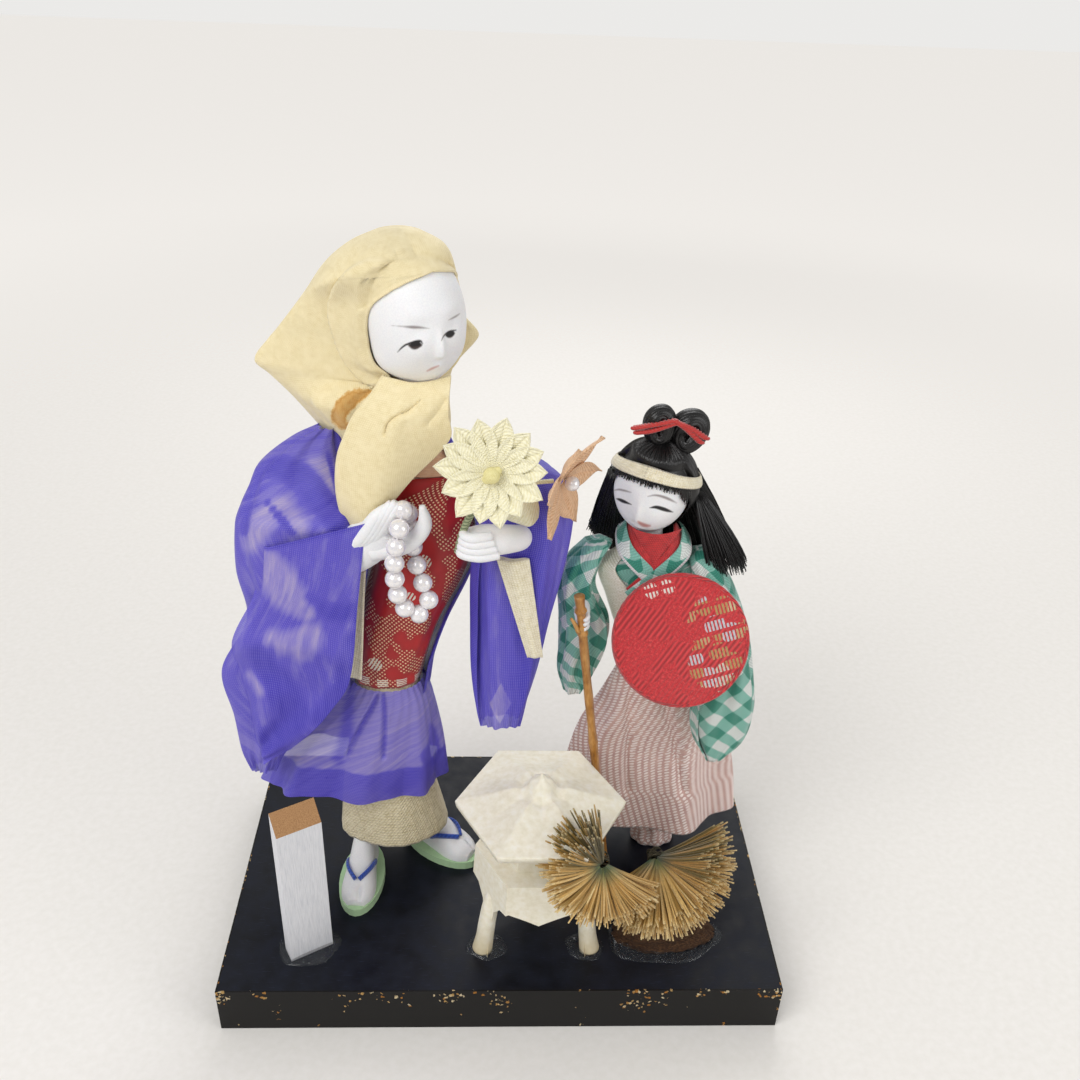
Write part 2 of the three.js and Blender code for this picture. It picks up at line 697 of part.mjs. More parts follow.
const wireSeat = 0.8 * KNOT_RADIUS + GAP + 0.7 * WIRE_RADIUS;
const behind = ({ at, tilt }) => [
  at[0],
  at[1] + wireSeat * Math.cos(radians(tilt)),
  at[2] - wireSeat * Math.sin(radians(tilt)),
];
const wireFoot = [-3, 2, 3];
const leftWire = bar([behind(LEFT_TUFT), [-13.5, -1, 20], wireFoot], WIRE_RADIUS, 5, 5);
const rightWire = bar([behind(RIGHT_TUFT), [-2.6, 5.4, 14], wireFoot], WIRE_RADIUS, 5, 5);
add(pine, 'pine_wire', join(leftWire, rightWire), FINISHES.wire);
add(pine, 'pine_bark', cleared(bark, leftWire, rightWire), FINISHES.bark);
const pinePuddle = puddle({
  y: -1,
  halfLength: BARK_LENGTH / 2 + PUDDLE_MARGIN,
  halfDepth: BARK_DEPTH / 2 + 1.3 * PUDDLE_MARGIN,
}, bark);
add(pine, 'glue_pine', pinePuddle, FINISHES.glue);

// Nun
const nun = standing(NUN_AT);

/** The egg shape of a doll's head: narrower at the chin, with a small nose, turned and leaned on its neck. */
function headShape({ at, size, turn, lean }, { grow = 0, nose = 0, levels = 8, count = 14 } = {}) {
  const [halfWidth, halfDepth, halfHeight] = size;
  const body = loft(Array.from({ length: levels + 1 }, (_, k) => {
    const rise = Math.PI * (0.04 + 0.92 * k / levels - 0.5);
    const height = Math.sin(rise);
    const narrow = height < 0 ? 1 - 0.14 * height ** 2 : 1;
    return Array.from({ length: count }, (_unused, i) => {
      const angle = TURN * i / count;
      const reach = Math.cos(rise) * narrow;
      const front = Math.exp(-(((angle - 1.5 * Math.PI) / 0.16) ** 2) - ((height + 0.2) / 0.14) ** 2);
      return [
        (halfWidth + grow) * reach * Math.cos(angle),
        (halfDepth + grow + nose * front) * reach * Math.sin(angle),
        (halfHeight + grow) * height,
      ];
    });
  }));
  body.rotateZ(radians(turn));
  body.rotateY(radians(lean));
  body.translate(...at);
  return body;
}

const nunSkull = headShape(NUN_HEAD, { nose: 1.1, levels: 10, count: 20 });
const nunSkullRoom = headShape(NUN_HEAD, { grow: 2 * GAP });
const neckFoot = NECK_TOP - NUN_NECK_SOCKET;
const neckPost = (radius, foot, x, y, top) => loft([foot, top].map((height) => ovalRing(
  [x - radius, x + radius, y - radius, y + radius],
  height,
  14,
)));
const nunNeck = neckPost(NUN_NECK_RADIUS, neckFoot, NUN_HEAD.at[0], NUN_HEAD.at[1] + 1.2, NUN_HEAD.at[2] - 8);
add(nun, 'nun_head', join(nunSkull, nunNeck), FINISHES.whiteClay);

// Rows of height, left, right, front and back of the padded body, from the bodice hem to the neck
const TORSO = [
  [BODICE_HEM - 3, -8.2, 7.4, -5.4, 7.6],
  [BODICE_HEM, -8.2, 7.4, -5.4, 7.6],
  [77, -5.4, 12.3, -5.5, 8.5],
  [95, -2, 19.4, -5.5, 9.5],
  [107, -2.6, 18.6, -4.8, 9.5],
  [BODICE_TOP, -1.2, 17, -4.2, 8.6],
  [118, 2, 13.6, -3.2, 6.6],
  [COLLAR_TOP, 3.8, 12.2, -2.8, 5.2],
  [NECK_TOP, 4, 12, -2.8, 5],
];
const UNDERSKIRT = [
  [UNDERSKIRT_HEM, -13.8, 12.8, -7.8, 14.8],
  [SKIRT_HEM, -12, 9.6, -6.6, 10.6],
  [44, -9.8, 8.2, -5.8, 8.6],
  [54, -8.4, 7.4, -5.2, 7.4],
  [BODICE_HEM, -8, 7, -5, 7],
];
const SKIRT = [
  [SKIRT_HEM, -31.4, 12.4, -9.6, 14.4],
  [42, -25.4, 11.8, -8.8, 12.4],
  [50, -19, 10.8, -8, 10.8],
  [56, -12, 9.6, -7.2, 9.6],
  [BODICE_HEM - GAP, -8.7, 7.9, -5.9, 8.2],
];
const bodiceOf = (grow) => rings(TORSO, BODICE_HEM, BODICE_TOP, 5, 16, { grow, power: 2.2 });
const collarOf = (grow) => rings(TORSO, BODICE_TOP + GAP, COLLAR_TOP, 2, 16, { grow, power: 2.2 });
const throatOf = (grow) => rings(TORSO, NECK_TOP, NECK_TOP, 1, 16, { grow, power: 2.2 }).slice(1);
const torsoOf = (grow) => loft([...bodiceOf(grow), ...collarOf(grow), ...throatOf(grow)]);
const torso = torsoOf(-THICK_CLOTH - 1.2 * GAP);
const bust = torsoOf(0);
const underskirtOf = (grow) => rings(UNDERSKIRT, UNDERSKIRT_HEM, BODICE_HEM - 6, 3, 16, { grow, power: 2.2 });
const waistOf = (grow) => (
  rings(UNDERSKIRT, BODICE_HEM + 1, BODICE_HEM + 1, 1, 16, { grow, power: 2.2 }).slice(1)
);
const padIn = -THIN_CLOTH - 1.2 * GAP;
const paddedLegs = loft([...underskirtOf(padIn), ...waistOf(padIn)]);
const socket = neckPost(NUN_NECK_RADIUS, neckFoot, NUN_HEAD.at[0], NUN_HEAD.at[1] + 1.2, NECK_TOP + 2);
add(nun, 'nun_padded_body', cleared(join(paddedLegs, torso), socket), FINISHES.padding);

add(nun, 'nun_underskirt', wall(underskirtOf(0), underskirtOf(-THIN_CLOTH)), FINISHES.creamCloth);

const skirtFolds = (angle, height) => {
  const share = Math.max(0, (BODICE_HEM - height) / (BODICE_HEM - SKIRT_HEM));
  return 0.95 * share * Math.cos(SKIRT_FOLDS * angle + 0.6);
};
const skirtOf = (grow) => rings(SKIRT, SKIRT_HEM, BODICE_HEM - GAP, 4, 4 * SKIRT_FOLDS, {
  grow,
  power: 2.2,
  fold: skirtFolds,
});
const skirt = wall(skirtOf(0), skirtOf(-THIN_CLOTH));
add(nun, 'nun_robe_skirt', skirt, FINISHES.purpleOrganza);

const bodice = wall(bodiceOf(0), bodiceOf(-THICK_CLOTH));
add(nun, 'nun_brocade_bodice', bodice, FINISHES.redBrocade);

const collar = wall(collarOf(0), collarOf(-THICK_CLOTH));
add(nun, 'nun_collar', collar, FINISHES.peachCollar);

// Hood: a stiff wrapped cloth with a corner at each side, a raised fold round the face and a front tail
const HOOD = [
  [112, -6, 12, -3, 12.5],
  [117, -8, 13.2, -3, 13],
  [122.6, -12.2, 14.2, -3.4, 13.4],
  [128, -16.6, 14.3, -4, 13.6],
  [132.4, -19.6, 15.2, -4.6, 13.6],
  [136.3, -21.6, 17.4, -5.2, 13.4],
  [139.5, -19.8, 19.6, -5.8, 13.4],
  [142, -17.6, 19.8, -6.4, 13.4],
  [149, -12.6, 18.4, -7.6, 12.8],
  [155.5, -8.4, 16.8, -8.4, 10.8],
  [159.6, -3.6, 13.6, -6.2, 8],
  [162, 1.4, 9.4, -2.6, 4],
];
const hoodFolds = (angle, height) => {
  const low = Math.min(Math.max((156 - height) / 20, 0), 1);
  return 0.7 * low * Math.cos(7 * angle + height / 14);
};
const HOOD_BOTTOM = 114;
const HOOD_TOP = 162;
const hoodDrape = loft(rings(HOOD, HOOD_BOTTOM, HOOD_TOP, 10, 24, { power: 1.7, fold: hoodFolds }));
const hoodInside = loft(rings(HOOD, HOOD_BOTTOM - 1.5, HOOD_TOP - 2.2, 8, 18, {
  grow: -THICK_CLOTH - GAP,
  power: 1.7,
  fold: hoodFolds,
}));

const TAIL_LEFT = [[0, -1, 133.5], [0.2, -3.8, 128], [0.5, -6, 119.5], [1, -6.3, 106.4]];
const TAIL_RIGHT = [[0, 13.4, 132], [0.25, 14.6, 127], [0.5, 13, 122], [1, -4.5, 105.8]];
const hoodTail = sheet((u, v) => {
  const left = between(TAIL_LEFT, v);
  const right = between(TAIL_RIGHT, v);
  const x = left[0] + (right[0] - left[0]) * u;
  const z = left[1] + (right[1] - left[1]) * u;
  const bulge = 1.6 * Math.sin(Math.PI * u) + 0.9 * Math.sin(TURN * u) * (1 - v);
  return [x, -7.2 - bulge - 0.8 * v, z];
}, 5, 5, THICK_CLOTH + 0.5);
const hoodFold = limb([
  [4, -5, 160, 1.6, 1.6],
  [-2.4, -5.2, 155, 3.2, 1.8],
  [-4, -5.6, 147, 3.6, 1.9],
  [-2.6, -6.6, 140, 3.4, 1.9],
  [1.4, -7.6, 134, 3.2, 1.8],
  [7, -8.2, 131.5, 2.6, 1.6],
], [0, -1, 0], 7);
const hoodShell = cut(hoodDrape, hoodInside);
const hoodBody = join(hoodShell, hoodTail, hoodFold);
const hood = cleared(cut(hoodBody, nunSkullRoom), bust, nunNeck);
add(nun, 'nun_hood', hood, FINISHES.hoodCloth);

// Robe: a back panel, and two wide sleeves whose bags are gathered at the bottom
const ROBE_FROM = -28;
const ROBE_TO = 208;
const robeBack = sheet((u, v) => {
  const height = BODICE_HEM + 1.2 * (BODICE_TOP - BODICE_HEM) * v;
  const [left, right, front, back] = between(TORSO, height);
  const angle = radians(ROBE_FROM + (ROBE_TO - ROBE_FROM) * u);
  const out = 2 * GAP + THIN_CLOTH / 2 + 0.4 * (1 + Math.sin(9 * angle));
  return ovalPoint([left, right, front, back], angle, { out, power: 2.2 }).concat(height);
}, 14, 6, THIN_CLOTH);
const robe = cleared(robeBack, hoodBody);
add(nun, 'nun_robe_back', robe, FINISHES.purpleOrganza);

const HAND_RIGHT = [
  [-8, -9.6, 98, 3.4, 1.8],
  [-2.6, -11.6, 102.4, 5.2, 1.6],
  [-0.6, -12.2, 105.4, 4.4, 1.5],
  [1, -12.3, 108.4, 2.4, 1.4],
  [2, -12.4, 111.6, 1.4, 1.3],
  [3.4, -12.6, 114.8, 0.7, 0.8],
];
const THUMB_RIGHT = [
  [-0.5, -12.2, 102.5, 2.2, 1.4],
  [4.6, -12.2, 103.2, 1.9, 1.3],
  [8.4, -12.2, 105.8, 1.6, 1.3],
  [10.2, -12.4, 110, 1.5, 1.2],
  [10.2, -12.8, 113.8, 0.6, 0.7],
];
const handRight = join(limb(HAND_RIGHT, [0, -1, 0], 10), limb(THUMB_RIGHT, [0, -1, 0], 8));
add(nun, 'nun_hand_right', handRight, FINISHES.whiteClay);

// Middles of the beads, from the one that hangs over the hand, down the front and up behind the thumb
const BEADS = [
  [5.7, -12.4, 111],
  [5.2, -16.2, 109],
  [4.4, -16.3, 105],
  [4, -16.1, 101],
  [3.9, -15.7, 97],
  [4.3, -15.2, 93],
  [5.6, -14.7, 89.3],
  [8.4, -14, 87.4],
  [10.4, -13.2, 90.4],
  [9.2, -12.2, 93.9],
  [8, -11, 97.4],
  [7.2, -9.4, 100.8],
  [6.8, -8.2, 104.4],
  [6.4, -8.8, 108.2],
];
const beadBodies = BEADS.map(([x, y, z]) => {
  const bead = new THREE.SphereGeometry(BEAD_RADIUS, 6, 4);
  bead.translate(x, y, z);
  return bead;
});
const threads = BEADS.map((bead, i) => bar([bead, BEADS[(i + 1) % BEADS.length]], THREAD_RADIUS, 1, 3));
const rosary = join(...beadBodies, ...threads);
add(nun, 'rosary', rosary, FINISHES.pearl);

// Rows of height, left, right, front and back of the sleeves, from the gathered bottom to the shoulder
const SLEEVE_RIGHT = [
  [40, -31, -26.2, -10.5, -7],
  [47, -32.6, -22.6, -12.2, -6],
  [57, -33.4, -14.2, -12.6, -4.6],
  [69, -34.6, -10.8, -12.6, -3.4],
  [82, -27.8, -6.4, -12.8, -2.6],
  [94, -29, -3.6, -13, -1.6],
  [104, -28.6, -2.7, -13, 1.5],
  [107.6, -27.4, -3, -12.6, 3],
  [110, -26.2, -4.6, -8.6, 4.6],
  [114, -24.2, -5.6, -4.6, 6],
  [119, -17.6, -7.4, -1.6, 6.4],
  [122, -12, -8.4, 0.6, 4.6],
];
const FOLD_DRIFT = 18;
const sleeveFolds = (waves, phase, depth) => (angle, height) => (
  depth * Math.cos(waves * angle + phase + height / FOLD_DRIFT)
);
const sleeveRightBody = loft(rings(SLEEVE_RIGHT, 40, 122, 10, 18, {
  power: 2.4,
  fold: sleeveFolds(6, 0.4, 0.9),
}));
const INNER_RIGHT_LEFT = [[0, -4.6, 95.5], [1, -10.2, 67]];
const innerSleeveRight = sheet((u, v) => {
  const [x, z] = between(INNER_RIGHT_LEFT, v);
  return [x + (1.6 + 3.2 * v) * u, -9.6 + 0.6 * Math.sin(Math.PI * u), z - 0.6 * u];
}, 3, 5, THICK_CLOTH);
const sleeveRight = cleared(sleeveRightBody, handRight, hoodBody, bust, robeBack, skirt);
add(nun, 'nun_robe_sleeve_right', sleeveRight, FINISHES.purpleOrganza);
add(
  nun,
  'nun_inner_sleeve_right',
  cleared(innerSleeveRight, sleeveRightBody, handRight, bust, robeBack, skirt),
  FINISHES.creamCloth,
);

const FIST = [
  [26, -6, 101.6, 2.6, 2.2],
  [29, -9.4, 103.4, 2.8, 2.4],
  [25.4, -12.2, 104.6, 3.2, 2.8],
  [20.6, -14, 105.4, 3.4, 3.2],
  [17.4, -14.2, 105.6, 1.6, 1.6],
];
const fistBody = limb(FIST, [0, -1, 0.2], 10);
const STEM_PATH = [
  [22.7, -16.5, 121.6],
  [19.6, -15.4, 113],
  [17.4, -15, 107.5],
  [16.6, -14.4, 103],
];
const stem = bar(STEM_PATH, STEM_RADIUS, 4, 5);
const fist = cleared(fistBody, stem);
add(nun, 'nun_hand_left', fist, FINISHES.whiteClay);

/** A round flower in the plane of x and z: petals with pointed ends and a rib each, dished toward -y. */
function flowerBody(radius, petals, share, dish) {
  const levels = [0.3, 1];
  const count = petals * 4;
  const ringAt = (v, offset) => Array.from({ length: count }, (_, i) => {
    const angle = TURN * i / count;
    const lobe = Math.abs(Math.cos(petals * angle / 2)) ** 0.8;
    const reach = v * radius * (1 - v * share * (1 - lobe));
    const rib = PETAL_RIB * v * Math.cos(petals * angle);
    return [reach * Math.cos(angle), rib - dish * v ** 2 + offset, reach * Math.sin(angle)];
  });
  const half = FLOWER_THICKNESS / 2;
  return loft([
    ...levels.map((v) => ringAt(v, half)),
    ...levels.toReversed().map((v) => ringAt(v, -half)),
  ]);
}
const flower = flowerBody(FLOWER_RADIUS, PETALS, 0.34, 1.6);
flower.rotateX(radians(-16));
flower.rotateZ(radians(-4));
flower.translate(...FLOWER_AT);
add(nun, 'flower_white', cleared(flower, stem), FINISHES.creamPetal);
add(nun, 'flower_stem', stem, FINISHES.greenStem);

const flowerBead = new THREE.SphereGeometry(FLOWER_BEAD, 8, 6);
flowerBead.translate(FLOWER_AT[0], FLOWER_AT[1] - FLOWER_THICKNESS / 2 - FLOWER_BEAD, FLOWER_AT[2]);
add(nun, 'flower_white_bead', cleared(flowerBead, flower), FINISHES.creamPetal);

const LEAF_AT = [25.4, -13.4, 117.5];
const leafCurve = (u, v) => {
  const width = 7.5 * Math.sin(Math.PI * (0.12 + 0.8 * v)) ** 0.7;
  const across = (u - 0.5) * width;
  return [
    LEAF_AT[0] + 5.6 * v + 0.8 * across,
    LEAF_AT[1] - 1.4 * Math.sin(Math.PI * u) + 2 * v,
    LEAF_AT[2] - 9 * v + 0.6 * across,
  ];
};
const leaf = sheet(leafCurve, 4, 5, 0.8);
add(nun, 'flower_leaf', cleared(leaf, fistBody, flower, stem), FINISHES.creamPetal);

const SLEEVE_LEFT = [
  [52, 21.4, 30.4, -8.6, -4],
  [57, 20.4, 31.4, -9.4, -3.4],
  [68, 19.4, 33.6, -9.8, -2.4],
  [80, 19.3, 35.4, -9.8, -1.4],
  [94, 19.4, 38, -9.6, -0.4],
  [104, 20.6, 39.4, -9.2, 1],
  [110, 19.4, 39.4, -7.6, 3],
  [114, 17.4, 36, -5.4, 4.6],
  [117, 14.6, 29, -3, 5],
];
const sleeveLeftBody = loft(rings(SLEEVE_LEFT, 52, 117, 8, 18, {
  power: 2.4,
  fold: sleeveFolds(6, 1.2, 0.8),
}));
const innerSleeveLeft = sheet((u, v) => {
  const width = 6.6 - 3.4 * v;
  return [24.2 + 7 * v + width * u, -10.6 + 0.9 * Math.cos(TURN * u), 98.6 - 24.6 * v];
}, 6, 6, THICK_CLOTH);
const sleeveLeftCut = cleared(sleeveLeftBody, innerSleeveLeft, fistBody, bust, robeBack, hoodBody, leaf);
add(nun, 'nun_robe_sleeve_left', sleeveLeftCut, FINISHES.purpleOrganza);
add(nun, 'nun_inner_sleeve_left', cleared(innerSleeveLeft, fistBody), FINISHES.creamCloth);

const sideFlower = flowerBody(SIDE_FLOWER_RADIUS, SIDE_PETALS, 0.62, 2.4);
sideFlower.rotateZ(radians(80));
sideFlower.rotateY(radians(14));
sideFlower.translate(...SIDE_FLOWER_AT);
const [sideX, sideY, sideZ] = SIDE_FLOWER_AT;
const sideStem = bar([
  [sideX - 1.6, sideY + 0.2, sideZ],
  [sideX - 5.6, sideY - 1.2, sideZ + 0.2],
  [sideX - 9.2, sideY - 2.8, sideZ - 0.2],
], STEM_RADIUS, 3, 5);
add(nun, 'flower_peach', cleared(sideFlower, sideStem, sleeveLeftBody), FINISHES.peachPetal);
add(nun, 'flower_peach_stem', cleared(sideStem, sleeveLeftBody, leaf, flower), FINISHES.creamPetal);
const sideBead = new THREE.SphereGeometry(SIDE_BEAD, 8, 6);
sideBead.translate(sideX - 0.4 + FLOWER_THICKNESS + SIDE_BEAD, sideY - 0.4, sideZ - 0.2);
add(nun, 'flower_peach_bead', cleared(sideBead, sideFlower, sideStem), FINISHES.pearl);

/** A split-toed sock on a straw sandal with a cord thong, its toe toward -y. */
function shoe(side, [x, y], turn) {
  const group = new THREE.Group();
  group.position.set(x, y, 0);
  group.rotation.z = radians(turn);
  nun.add(group);
  const sole = new THREE.Shape();
  sole.absellipse(0, 0, SANDAL_WIDTH / 2, SANDAL_LENGTH / 2, 0, TURN);
  add(group, `nun_sandal_${side}`, plate(sole, SANDAL_THICKNESS, 12), FINISHES.greenStraw);
  const [halfWidth, halfLength] = [FOOT_WIDTH / 2, FOOT_LENGTH / 2];
  const rise = ANKLE_HEIGHT - SANDAL_THICKNESS;
  const foot = loft([
    [0, -1, 1],
    [0.2, -1, 1],
    [0.42, -0.6, 1],
    [0.62, -0.08, 0.98],
    [1, 0.28, 1],
  ].map(([share, toe, heel]) => ovalRing(
    [-halfWidth, halfWidth, halfLength * toe, halfLength * heel],
    SANDAL_THICKNESS + rise * share,
    14,
    { grow: -0.25 * share },
  )));
  add(group, `nun_foot_${side}`, foot, FINISHES.whiteClay);
  const reach = SANDAL_WIDTH / 2 - 0.6;
  const vee = outline([
    [-STRAP_WIDTH / 2, -halfLength * 0.72],
    [STRAP_WIDTH / 2, -halfLength * 0.72],
    [reach, 0],
    [reach, STRAP_WIDTH * 1.3],
    [0, -halfLength * 0.72 + STRAP_WIDTH * 1.6],
    [-reach, STRAP_WIDTH * 1.3],
    [-reach, 0],
  ]);
  const strapSpace = plate(vee, ANKLE_HEIGHT);
  strapSpace.translate(0, 0, SANDAL_THICKNESS);
  const strap = cut(common(grown(foot, GAP + STRAP_THICKNESS), strapSpace), grown(foot, GAP));
  add(group, `nun_thong_${side}`, strap, FINISHES.blueCord);
}
shoe('right', [-8.2, -7], -3.6);
shoe('left', [11.2, 4.6], 55.8);

// Child
const child = standing(CHILD_AT);
const skull = headShape(CHILD_HEAD, { nose: 0.8, levels: 9, count: 18 });
const skullRoom = headShape(CHILD_HEAD, { grow: 1.8 * GAP });
const childNeckFoot = KIMONO_TOP - 3;
const childNeck = neckPost(CHILD_NECK_RADIUS, childNeckFoot, ...CHILD_NECK_AT, CHILD_HEAD.at[2] - 6);
add(child, 'child_head', join(skull, childNeck), FINISHES.whiteClay);

const CHILD_TORSO = [
  [CHILD_WAIST, -10.6, 6.8, -5.2, 6.2],
  [70, -12.4, 5.2, -5.4, 5.6],
  [80, -15.4, 4.4, -5.4, 5.2],
  [88, -17.6, 6, -5, 5.2],
  [91, -14, 2.4, -4, 4.4],
  [KIMONO_TOP, -11, -1.6, -3.2, 4],
];
const CHILD_SKIRT = [
  [CHILD_HEM, -22.4, 20.2, -7.6, 13],
  [28, -20.6, 18.4, -6.8, 10.4],
  [40, -18.4, 15.4, -6, 8.4],
  [50, -14.4, 11, -5.8, 7],
  [CHILD_WAIST - GAP, -11, 7.2, -5.6, 6.6],
];
const childFolds = (angle, height) => {
  const share = Math.max(0, (CHILD_WAIST - height) / (CHILD_WAIST - CHILD_HEM));
  return 2 * share * Math.cos(CHILD_FOLDS * angle + 0.9);
};
const childSkirtOf = (grow) => rings(CHILD_SKIRT, CHILD_HEM, CHILD_WAIST - GAP, 4, 5 * CHILD_FOLDS, {
  grow,
  power: 2,
  fold: childFolds,
});
const childSkirt = wall(childSkirtOf(0), childSkirtOf(-THIN_CLOTH));
add(child, 'child_skirt', childSkirt, FINISHES.pinkNet);

const legs = loft([0, 0.12 * LEG_TOP, LEG_TOP].map((height) => ovalRing([-3.6, 7.6, -1.4, 7.2], height, 16)));
add(child, 'child_legs', legs, FINISHES.pinkNet);
const CHILD_CORE = [
  [LEG_TOP, -4.6, 8.4, -2, 7.8],
  [40, -8, 6.4, -3.6, 5.6],
  [CHILD_WAIST - 3, -9, 5.2, -3.8, 4.8],
];
const hips = loft(rings(CHILD_CORE, LEG_TOP, CHILD_WAIST - 3, 2, 14));
const childChest = loft(rings(CHILD_TORSO, CHILD_WAIST - 3, KIMONO_TOP, 4, 14, {
  grow: -2 * THIN_CLOTH - 3 * GAP,
}));
add(child, 'child_padded_body', cleared(join(hips, childChest), childNeck), FINISHES.padding);

const kimonoOf = (grow) => rings(CHILD_TORSO, CHILD_WAIST, KIMONO_TOP, 4, 16, { grow });
const childBust = loft(kimonoOf(0.05));
const kimonoShell = wall(kimonoOf(-THIN_CLOTH - GAP - 0.1), kimonoOf(-2 * THIN_CLOTH - GAP - 0.1));
add(child, 'child_kimono', cleared(cut(kimonoShell, skullRoom), childNeck), FINISHES.checkCloth);

const vestShell = wall(kimonoOf(0), kimonoOf(-THIN_CLOTH));
const neckline = plate(outline([[-6.4, 78], [-16, 99], [4, 99]]), 12);
neckline.rotateX(Math.PI / 2);
add(child, 'child_vest', cleared(cut(vestShell, neckline, skullRoom), childNeck), FINISHES.silverWeave);

const collarRing = (radius, height) => ovalRing([
  CHILD_NECK_AT[0] - radius,
  CHILD_NECK_AT[0] + radius,
  CHILD_NECK_AT[1] - radius,
  CHILD_NECK_AT[1] + radius,
], height, 12);
const collarTop = KIMONO_TOP + COLLAR_HEIGHT;
const innerCollar = wall(
  [collarRing(4.6, KIMONO_TOP + GAP), collarRing(3.4, collarTop)],
  [collarRing(3.4, KIMONO_TOP + GAP), collarRing(2.7, collarTop)],
);
add(child, 'child_inner_collar', cut(innerCollar, skullRoom), FINISHES.redRibbon);

// Hair: a cap close to the head with a fringe, and a long fall behind
const hairCap = headShape(CHILD_HEAD, { grow: HAIR_THICKNESS + GAP, levels: 8, count: 16 });
const HAIR_FALL = [
  [84.6, -12.6, 13.4, 3.4, 10.6],
  [92, -19, 12.6, 2.6, 11.4],
  [98, -18.4, 9.6, 1.8, 11.6],
  [105, -17.2, 4.6, 0.6, 11.4],
  [109.4, -16, 2.4, 0.6, 9.4],
];
const hairFall = loft(rings(HAIR_FALL, 84.6, 109.4, 4, 16, {
  power: 2.3,
  fold: (angle) => 0.25 * Math.cos(8 * angle),
}));
const faceOpening = new THREE.SphereGeometry(8.4, 12, 8);
faceOpening.scale(1, 0.9, 1.02);
faceOpening.translate(0, -7.4, -4.6);
faceOpening.rotateZ(radians(CHILD_HEAD.turn));
faceOpening.rotateY(radians(CHILD_HEAD.lean));
faceOpening.translate(...CHILD_HEAD.at);
const hairBody = join(cut(hairCap, faceOpening), hairFall);
const hair = cleared(cut(hairBody, skullRoom), childNeck, childBust, innerCollar);
add(child, 'child_hair', hair, FINISHES.blackHair);

const bandRing = (grow) => [-HEADBAND_HEIGHT / 2, HEADBAND_HEIGHT / 2].map((height) => {
  const level = HEADBAND_LIFT + height;
  const share = Math.sqrt(1 - (level / (CHILD_HEAD.size[2] + HAIR_THICKNESS)) ** 2);
  const halfX = (CHILD_HEAD.size[0] + HAIR_THICKNESS + GAP) * share + grow;
  const halfY = (CHILD_HEAD.size[1] + HAIR_THICKNESS + GAP) * share + grow;
  return ovalRing([-halfX, halfX, -halfY, halfY], level, 20);
});
const headband = wall(bandRing(GAP + HEADBAND_THICKNESS), bandRing(GAP));
headband.rotateZ(radians(CHILD_HEAD.turn));
headband.rotateY(radians(CHILD_HEAD.lean));
headband.translate(...CHILD_HEAD.at);
add(child, 'child_headband', headband, FINISHES.creamCloth);

/** One glossy loop of hair that stands on the crown. */
function bun(x, y, z, width, height, lean) {
  const loop = new THREE.TorusGeometry(1, 0.62, 6, 12);
  loop.rotateX(Math.PI / 2);
  loop.scale(width, 2.6, height);
  loop.rotateY(radians(lean));
  loop.translate(x, y, z);
  return loop;
}
const bunLeft = bun(-7.4, 1.4, 121.6, 2.3, 3.6, 4);
const bunRight = bun(-0.6, 2, 120, 2.7, 3.8, 24);
add(child, 'child_bun_left', cleared(bunLeft, hairBody), FINISHES.blackHair);
add(child, 'child_bun_right', cleared(bunRight, hairBody, bunLeft), FINISHES.blackHair);
const ribbon = limb([
  [-12.6, -0.6, 122, 1.2, 0.5],
  [-8, -0.9, 122.6, 0.9, 0.5],
  [-4.2, -0.7, 123.2, 0.8, 0.5],
  [-1.8, -0.5, 121.4, 0.9, 0.5],
  [2.2, -0.4, 118.6, 1.2, 0.5],
], [0, -1, 0.3], 7);
add(child, 'child_ribbon', cleared(ribbon, bunLeft, bunRight, hairBody), FINISHES.redRibbon);

const stick = loft([
  [0, -11.5, 1],
  [0.9, -21.8, 1],
  [0.92, -22, 1.25],
  [0.94, -22.2, 1],
  [0.985, -22.6, 1.2],
  [1, -22.8, 0.9],
].map(([share, x, wide]) => {
  const radius = STICK_RADIUS * wide;
  return ovalRing([x - radius, x + radius, STICK_Y - radius, STICK_Y + radius], STICK_LENGTH * share, 10);
}));
add(child, 'child_stick', stick, FINISHES.caneWood);

const hat = loft([
  [-HAT_RIM - 0.4, 0.9],
  [-HAT_RIM, 1],
  [0, 1],
  [0.5 * HAT_CROWN, 0.8],
  [HAT_CROWN, 0.4],
].map(([height, share]) => {
  const radius = HAT_RADIUS * share;
  return ovalRing([-radius, radius, -radius, radius], height, 24);
}));
hat.rotateX(radians(90 - HAT_TILT));
hat.rotateZ(radians(HAT_TURN));
hat.translate(...HAT_AT);

const CHILD_SLEEVE_RIGHT = [
  [55.6, -24.4, -20.6, -6.6, -2.4],
  [62, -26, -17.4, -7.2, -1.4],
  [70, -26, -15, -7.4, -0.8],
  [76, -26, -15.4, -7, -0.6],
  [84, -26.6, -19, -6, 0.4],
  [90, -25.4, -17.4, -5, 1.4],
  [94, -21.6, -15.4, -4, 2],
];
const childSleeveRight = loft(rings(CHILD_SLEEVE_RIGHT, 55.6, 94, 7, 16, { fold: sleeveFolds(5, 0.3, 0.5) }));
const CHILD_SLEEVE_LEFT = [
  [42.6, 9, 13, -15, -11],
  [48, 6, 17.6, -15.6, -9],
  [56, 4.6, 19, -16.4, -8],
  [66, 5, 17.6, -17, -5],
  [78, 4.4, 14.6, -13.4, -1.4],
  [86, 3, 11.4, -8.6, 1.6],
  [91, 1.4, 8, -4.4, 3.2],
];
const childSleeveLeft = loft(rings(CHILD_SLEEVE_LEFT, 42.6, 91, 7, 16, { fold: sleeveFolds(5, 1.3, 0.5) }));
const childHand = limb([
  [-21.4, -6.4, 80.6, 1.5, 1.2],
  [-21.6, -8, 79.6, 1.9, 1.4],
  [-21.8, -9.8, 78.6, 1.6, 1.2],
], [0, 0, 1], 8);
